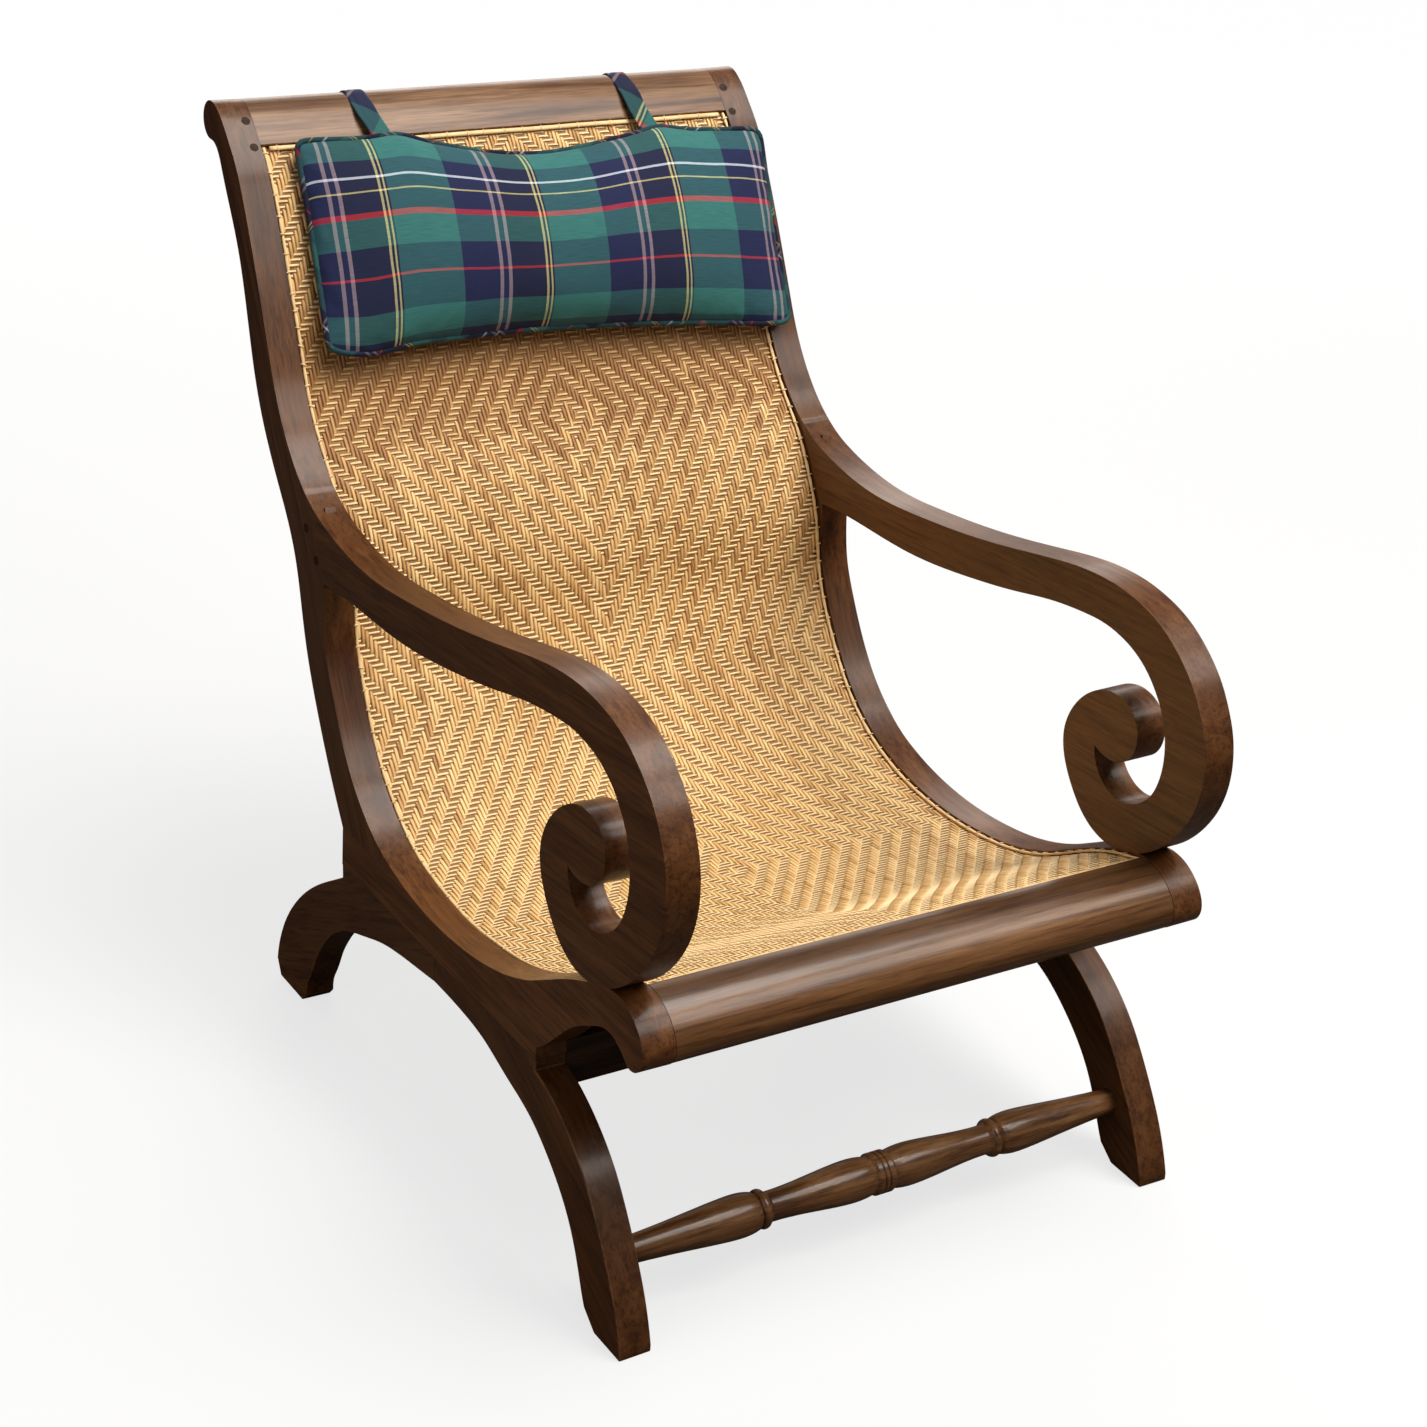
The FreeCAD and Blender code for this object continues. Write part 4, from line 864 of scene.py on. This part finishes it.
def make_end_beads(sling, material):
    """A strand across the top and the front edge of the cane, with its ties."""
    chance = random.Random(8)
    for name, start, way in (("top", 0.0, 1), ("front", sling.length, -1)):
        half = float(sling.half(start)) - 9.6

        def along_edge(along, offset, height):
            run = start + way * (BEAD_INSET + 0.2 * np.sin(along / 21.0)) + offset
            return sling.points(run, along, CANE_RECESS - 1.4 - height)
        places = np.linspace(-half, half, 90)
        strips = [strand(places, 0.0, round_ring(END_BEAD_RADIUS, 10, 0.62), along_edge, 0.66)]
        across = -half + 8.0
        while across < half - 8.0:

            def to_points(along, offset, height):
                run = start + way * BEAD_INSET + along
                return sling.points(run, across + offset + 0 * along, tie_sink(along, height))
            strips.append(tie(to_points, chance))
            across += chance.uniform(18.0, 24.0)
        build_bead(name, strips, material)


# Head pillow and its straps, in millimetres.

PILLOW_WIDTH = 549.0
PILLOW_LENGTH = 221.0
PILLOW_CENTRE = 20.8
PILLOW_TILT = radians(2.65)
PILLOW_SLOPE = radians(61.41)
PILLOW_BASE = (310.72, 674.66)
PILLOW_GRID = (116, 48)
SEAM_LEVEL = 20.0
CROWN = 60.0
BACK_LEVEL = 11.5
TOP_SAG = 21.0
LOW_RISE = 7.0
CORNER_CUT = 3.0
CORNER_START = 0.48
SIDE_DRAW = 2.0
PIPING_RADIUS = 3.1
# Each strap: its place across, where it ends inside the pillow as (y, z), the way that the
# check runs on it, and how far its check is shifted.
STRAPS = {
    "left": (-150.0, (392.3, 868.7), 1.0, (62.0, 72.0)),
    "right": (160.0, (381.4, 855.1), -1.0, (24.0, 66.0)),
}
BEND = (434.356, 901.730)
ROLL_RADIUS = 19.5
WRAP_STAND = 2.3
STRAP_SLANT = 10.0
SLANT_REACH = 48.0
STRAP_BOW = 4.5
STRAP_LIFT = 3.2
STRAP_LEVEL = 1.5
TAPE_HALF = 11.6
TAPE_THICK = 0.95
TAPE_STEP = 3.0
CREASE = 0.5
# Cloth cut on the bias runs along both yarns at once.
BIAS = 0.7071
# The pillow's air: settings of Blender's cloth, run for this many frames.
AIR_FRAMES = 20
AIR_CAP = 5.0
AIR_RULES = {
    "quality": 6, "mass": 0.3, "tension_stiffness": 25, "compression_stiffness": 25,
    "shear_stiffness": 12, "bending_stiffness": 0.6, "vertex_group_mass": "seam",
    "use_pressure": True, "uniform_pressure_force": 4.0,
}


def on_pillow(x, u, v):
    """A point of the pillow's own frame (across, up the slope, out of it), in metres."""
    across = PILLOW_CENTRE + x * cos(PILLOW_TILT) + u * sin(PILLOW_TILT)
    up = -x * sin(PILLOW_TILT) + u * cos(PILLOW_TILT)
    y = PILLOW_BASE[0] + up * cos(PILLOW_SLOPE) - v * sin(PILLOW_SLOPE)
    z = PILLOW_BASE[1] + up * sin(PILLOW_SLOPE) + v * cos(PILLOW_SLOPE)
    return Vector((across, y, z)) * MM


def hang(share):
    """How far the pillow sags between its two straps at a place across it, 0 to 1."""
    left, right = (strap[0] - PILLOW_CENTRE for strap in STRAPS.values())
    place = (share * PILLOW_WIDTH - left) / (right - left)
    if not 0.0 < place < 1.0:
        return 0.0
    wave = sin(pi * place)
    return (wave ** 2 + wave) / 2


def pillow_outline(a):
    """Lower and upper seam, up the slope, at a share across from -0.5 to 0.5."""
    corner = CORNER_CUT * (max(0.0, abs(a) - CORNER_START) / (0.5 - CORNER_START)) ** 2
    top = PILLOW_LENGTH - TOP_SAG * hang(a) - corner - 4.0
    low = LOW_RISE * sin(pi * (a + 0.5)) ** 2 + corner + 3.0
    return low, top


def pulled(a, b):
    """How far the straps lift the top edge and the lower corners droop, near those edges only."""
    lift = 0.0
    for place, _, _, _ in STRAPS.values():
        lift += 5.0 * exp(-((a * PILLOW_WIDTH + PILLOW_CENTRE - place - STRAP_SLANT) / 24.0) ** 2)
    droop = 8.0 * exp(-((a + 0.42) / 0.07) ** 2) + 4.0 * exp(-((a - 0.46) / 0.1) ** 2)
    return lift * b ** 5 - droop * (1 - b) ** 3


def dome(a, b):
    """Share of the crown at a place, rounded like a filled bag."""
    across = max(0.0, 1 - abs(2 * a) ** 2.8)
    along = max(0.0, 1 - abs(2 * b - 1) ** 2.4)
    return across ** 0.58 * along ** 0.62


def pillow_point(a, b, front):
    """A point of the front or back panel, as (x, u, v) in the pillow's own frame."""
    low, top = pillow_outline(a)
    level = CROWN if front else BACK_LEVEL
    side = PILLOW_WIDTH / 2 - SIDE_DRAW * sin(pi * b) - 3.0
    u = low + (top - low) * b + pulled(a, b)
    return 2 * a * side, u, SEAM_LEVEL + (level - SEAM_LEVEL) * dome(a, b)


def pillow_shares(i, j):
    """Shares across and up the pillow, with the grid drawn closer at its edges."""
    a, b = i / PILLOW_GRID[0] - 0.5, j / PILLOW_GRID[1]
    a = 0.5 * copysign(sin(pi * abs(a)) ** 0.92, a)
    b = 0.5 - 0.5 * cos(pi * (0.08 + 0.84 * b)) / cos(pi * 0.08)
    return a, b


def pillow_form():
    """Two cloth panels sewn at the seam, and the numbers of the seam's vertices."""
    columns, rows = PILLOW_GRID
    form = bmesh.new()
    cloth = form.verts.layers.float_vector.new("cloth")
    grid = {}
    seam = []
    for front in (True, False):
        for i in range(columns + 1):
            for j in range(rows + 1):
                at_seam = i in (0, columns) or j in (0, rows)
                if at_seam and not front:
                    grid[front, i, j] = grid[True, i, j]
                    continue
                a, b = pillow_shares(i, j)
                vertex = form.verts.new(on_pillow(*pillow_point(a, b, front)))
                vertex[cloth] = ((a + 0.5) * PILLOW_WIDTH, (1 - b) * PILLOW_LENGTH, 0.0)
                grid[front, i, j] = vertex
                if at_seam:
                    seam.append(vertex)
    for front in (True, False):
        for i in range(columns):
            for j in range(rows):
                ring = [grid[front, i + right, j + up] for right, up in ((0, 0), (1, 0), (1, 1), (0, 1))]
                form.faces.new(ring if front else ring[::-1])
    bmesh.ops.recalc_face_normals(form, faces=form.faces)
    form.verts.index_update()
    return form, [vertex.index for vertex in seam]


def make_pillow(material):
    """The padded pillow, blown up by a short cloth simulation."""
    form, seam = pillow_form()
    piece = add_form("head_pillow", form, material)
    piece.vertex_groups.new(name="seam").add(sorted(seam), 1.0, "REPLACE")
    fill_with_air(piece)
    pucker(piece)
    smooth = piece.modifiers.new("finer", "SUBSURF")
    smooth.levels = smooth.render_levels = 1
    dress(piece, "headrest", "tartan_cloth", "headrest_pillow")


def fill_with_air(piece):
    """A short cloth simulation with pressure; no point moves further than the cap."""
    start = np.array([vertex.co for vertex in piece.data.vertices])
    cloth = piece.modifiers.new("air", "CLOTH")
    for key, value in AIR_RULES.items():
        setattr(cloth.settings, key, value)
    cloth.settings.effector_weights.gravity = 0.0
    cloth.collision_settings.use_collision = False
    cloth.point_cache.frame_start = 1
    cloth.point_cache.frame_end = AIR_FRAMES
    scene = bpy.context.scene
    for step in range(1, AIR_FRAMES + 1):
        scene.frame_set(step)
    seen = piece.evaluated_get(bpy.context.evaluated_depsgraph_get()).data
    end = np.array([vertex.co for vertex in seen.vertices])
    piece.modifiers.remove(cloth)
    scene.frame_set(1)
    move = end - start
    far = np.linalg.norm(move, axis=1)
    share = np.minimum(1.0, AIR_CAP * MM / np.maximum(far, 1e-9))
    final = start + move * share[:, None]
    piece.data.vertices.foreach_set("co", final.ravel())
    piece.data.update()


def pucker(piece):
    """Small gathers in the cloth along the seam."""
    cloth = piece.data.attributes["cloth"].data
    normals = [vertex.normal.copy() for vertex in piece.data.vertices]
    for vertex, place, normal in zip(piece.data.vertices, cloth, normals):
        across, down, _ = place.vector
        rim = min(across, PILLOW_WIDTH - across, down, PILLOW_LENGTH - down)
        near = exp(-((rim - 9.0) / 9.0) ** 2)
        fine = noise.noise(Vector((across / 13.0, down / 13.0, 3.0)))
        wide = noise.noise(Vector((across / 75.0, down / 60.0, 8.0)))
        vertex.co += normal * (near * fine * 1.6 + wide * 1.4 - 0.6) * MM
    piece.data.update()


def make_piping(material):
    """The corded edge all round the seam."""
    corners = ((-0.5, 0.0), (0.5, 0.0), (0.5, 1.0), (-0.5, 1.0), (-0.5, 0.0))
    places = []
    for (a, b), (c, d), steps in zip(corners, corners[1:], (96, 40, 96, 40)):
        places += [(a + (c - a) * k / steps, b + (d - b) * k / steps) for k in range(steps)]
    centres = []
    for a, b in places:
        x, u, _ = pillow_point(a, b, True)
        wave = 0.8 * noise.noise(Vector((x / 30.0, u / 30.0, 0)))
        centres.append(on_pillow(x, u, SEAM_LEVEL + wave))
    centres = smoothed(centres, 3)
    out = (on_pillow(0, 0, 1) - on_pillow(0, 0, 0)).normalized()
    form = bmesh.new()
    cloth = form.verts.layers.float_vector.new("cloth")
    sides = 10
    rings = []
    run = 0.0
    for k, centre in enumerate(centres):
        ahead = centres[(k + 1) % len(centres)] - centres[k - 1]
        run += (centre - centres[k - 1]).length / MM if k else 0.0
        across = ahead.cross(out).normalized()
        ring = []
        for side in range(sides):
            turn = 2 * pi * side / sides
            offset = (across * cos(turn) + out * sin(turn)) * PIPING_RADIUS * MM
            vertex = form.verts.new(centre + offset)
            around = PIPING_RADIUS * turn
            vertex[cloth] = ((run + around) * BIAS, (run - around) * BIAS * 0.9, 0.0)
            ring.append(vertex)
        rings.append(ring)
    skin(form, rings, closed=True)
    dress(add_form("pillow_piping", form, material), "headrest", "tartan_cloth")


def strap_path(side):
    """The strap's middle line as (0, y, z), from inside the pillow to under the roll."""
    end = STRAPS[side][1]
    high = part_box(side + "_strap_wrap")[1]
    crest_y, crest_z = (reach / MM - ROLL_RADIUS - WRAP_STAND for reach in (high.y, high.z))
    fall = (BEND[0] - end[0], BEND[1] - end[1])
    size = hypot(*fall)
    points = []
    for share in (0.0, 0.25, 0.5, 0.75, 1.0):
        stand = STRAP_LIFT if share == 1.0 else STRAP_BOW * sin(pi * share * 0.8)
        points.append((end[0] + fall[0] * share - fall[1] / size * stand,
                       end[1] + fall[1] * share + fall[0] / size * stand))
    middle = ROLL_RADIUS + STRAP_LEVEL
    for angle in (98, 84, 70, 50, 30, 10, -10, -30, -50, -70, -88):
        turn = radians(angle)
        points.append((crest_y + middle * cos(turn), crest_z + middle * sin(turn)))
    return [Vector((0.0, y, z)) for y, z in points]


def fine_path(points):
    """The path in short steps with its bends rounded, and the run at each step."""
    fine = []
    for first, second in zip(points, points[1:]):
        count = max(2, int((second - first).length / TAPE_STEP))
        fine += [first.lerp(second, k / count) for k in range(count)]
    fine.append(points[-1])
    fine = smoothed(fine, 4, (0, len(fine) - 1))
    steps = [0.0] + [(second - first).length for first, second in zip(fine, fine[1:])]
    return fine, np.cumsum(steps)


def make_strap(side, material):
    """A folded tape: one ribbon from the pillow over the rail, with soft edges."""
    place, _, way, _ = STRAPS[side]
    fine, runs = fine_path(strap_path(side))
    shares = np.linspace(-1, 1, 17)
    form = bmesh.new()
    cloth = form.verts.layers.float_vector.new("cloth")
    rings = []
    for k, (point, run) in enumerate(zip(fine, runs)):
        ahead = fine[min(k + 1, len(fine) - 1)] - fine[max(k - 1, 0)]
        up = Vector((1, 0, 0)).cross(ahead).normalized()
        width = TAPE_HALF + 0.4 * sin(run / 9.0 + way)
        slant = STRAP_SLANT * max(0.0, 1 - run / SLANT_REACH)
        ring = []
        for face in (1, -1):
            for share in (shares if face > 0 else shares[::-1][1:-1]):
                thick = TAPE_THICK * sqrt(max(0.0, 1 - abs(share) ** 6))
                crease = CREASE * exp(-((share + 0.5) / 0.14) ** 2) if face > 0 else 0.0
                x = place + slant + share * width
                vertex = form.verts.new(Vector((x * MM, 0, 0)) + point * MM
                                        + up * (face * thick - crease) * MM)
                over = share * 12.0 + 12.0
                vertex[cloth] = (way * (run - over) * BIAS, (run + over) * BIAS, 0.0)
                ring.append(vertex)
        rings.append(ring)
    skin(form, rings)
    piece = add_form(side + "_strap", form, material)
    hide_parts(side + "_strap_wrap", side + "_strap_drop")
    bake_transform(piece)


# Studio, in metres.

FLOOR_HALF = 16.0
FADE_START = 1.0
FADE_END = 4.5
FLOOR_SEEN = (0.18, 0.18, 0.18)
FLOOR_BOUNCE = (0.07, 0.06, 0.05)
FLOOR_FAR = (0.03, 0.03, 0.03)
WHITE_LIGHT = (1.0, 1.0, 1.0)
SKY_SEEN = 1.0
SKY_LIGHT = 0.17
# Lamps: place, height of what they point at, size, watts and colour.
LAMPS = {
    "key": ((1.0, -0.9, 4.8), 0.45, (2.6, 2.6), 250.0, (1.0, 0.985, 0.96)),
    "front": ((1.7, -2.2, 3.2), 0.4, (2.4, 1.0), 58.0, (1.0, 0.97, 0.93)),
    "left": ((-3.4, -0.9, 1.3), 0.5, (1.8, 1.6), 22.0, (1.0, 0.97, 0.93)),
    "back": ((1.4, 3.4, 2.2), 0.4, (3.2, 1.6), 60.0, (1.0, 0.94, 0.88)),
}


def make_lamps():
    for name, (place, aim, size, watts, colour) in LAMPS.items():
        data = bpy.data.lights.new(name, "AREA")
        data.shape = "RECTANGLE"
        data.size, data.size_y = size
        data.energy = watts
        data.color = colour
        lamp = add_piece(name, data)
        lamp.location = place
        way = Vector((0.0, 0.0, aim)) - lamp.location
        lamp.rotation_euler = way.to_track_quat("-Z", "Y").to_euler()


def make_camera():
    data = bpy.data.cameras.new("camera")
    data.lens = CAMERA_LENS
    data.sensor_width = FILM_WIDTH
    data.clip_end = 60.0
    camera = add_piece("camera", data)
    turn = Matrix.Rotation(-CAMERA_TURN, 4, "Z")
    tilt = Matrix.Rotation(pi / 2 - CAMERA_TILT, 4, "X")
    roll = Matrix.Rotation(CAMERA_ROLL, 4, "Z")
    camera.matrix_world = Matrix.Translation(CAMERA_PLACE) @ turn @ tilt @ roll
    bpy.context.scene.camera = camera


def make_world():
    """A dim sky that looks white to the camera."""
    world = bpy.data.worlds.new("studio")
    world.use_nodes = True
    seen = node(world.node_tree, "ShaderNodeLightPath").outputs["Is Camera Ray"]
    strength = maths("MULTIPLY_ADD", seen, SKY_SEEN - SKY_LIGHT, SKY_LIGHT)
    fill_all(world.node_tree.nodes["Background"], {"Color": WHITE_LIGHT, "Strength": strength})
    bpy.context.scene.world = world


def make_floor():
    """A pale floor that fades out to white in the distance."""
    half = FLOOR_HALF
    corners = ((-half, -half, 0), (half, -half, 0), (half, half, 0), (-half, half, 0))
    mesh = bpy.data.meshes.new("floor")
    mesh.from_pydata(corners, [], [(0, 1, 2, 3)])
    material, surface, coords = shader("pale_floor")
    distance = node(coords, "ShaderNodeVectorMath", operation="LENGTH", Vector=coords).outputs["Value"]
    fade = node(coords, "ShaderNodeMapRange", interpolation_type="SMOOTHSTEP", Value=distance)
    fill_all(fade, {"From Min": FADE_START, "From Max": FADE_END})
    far = fade.outputs[0]
    seen = node(coords, "ShaderNodeLightPath").outputs["Is Camera Ray"]
    glow = maths("MULTIPLY", seen, maths("MULTIPLY_ADD", far, 0.25, 0.73))
    fill_all(surface, {"Base Color": mixed(far, mixed(seen, FLOOR_BOUNCE, FLOOR_SEEN), FLOOR_FAR),
                       "Roughness": 0.9, "Specular IOR Level": 0.1,
                       "Emission Color": WHITE_LIGHT, "Emission Strength": glow})
    floor = add_piece("floor", mesh, material)


def main():
    bpy.context.scene.view_settings.view_transform = "Standard"
    make_camera()
    make_world()
    make_floor()
    make_lamps()
    make_wood()
    weft = cane("cane_weft", (0.97, 0.71, 0.38), (0.88, 0.57, 0.26), (0.48, 0.25, 0.09))
    warp = cane("cane_warp", (0.96, 0.66, 0.30), (0.80, 0.48, 0.19), (0.38, 0.18, 0.062))
    bead = cane("cane_bead", (0.92, 0.66, 0.34), (0.70, 0.43, 0.18), (0.38, 0.19, 0.072))
    # Tones of painted shade for the sheet in the mat's middle, as shaded strands would look.
    shade_sheet = cane("cane_shade_sheet", (0.40, 0.225, 0.085), (0.30, 0.155, 0.055), (0.18, 0.085, 0.028), 0.7)
    sling = Sling()
    make_cane(sling, weft, warp, shade_sheet)
    make_side_beads(sling, bead)
    make_end_beads(sling, bead)
    make_pillow(checked("pillow_check", 98.9, 0.0))
    make_piping(checked("piping_check", 40.0, 60.0, 0.6, 0.5))
    for side in STRAPS:
        make_strap(side, checked(side + "_strap_cloth", *STRAPS[side][3], 1.0, 0.75))
        give(side + "_strap_tack", brass(side + "_tack_brass"))


main()
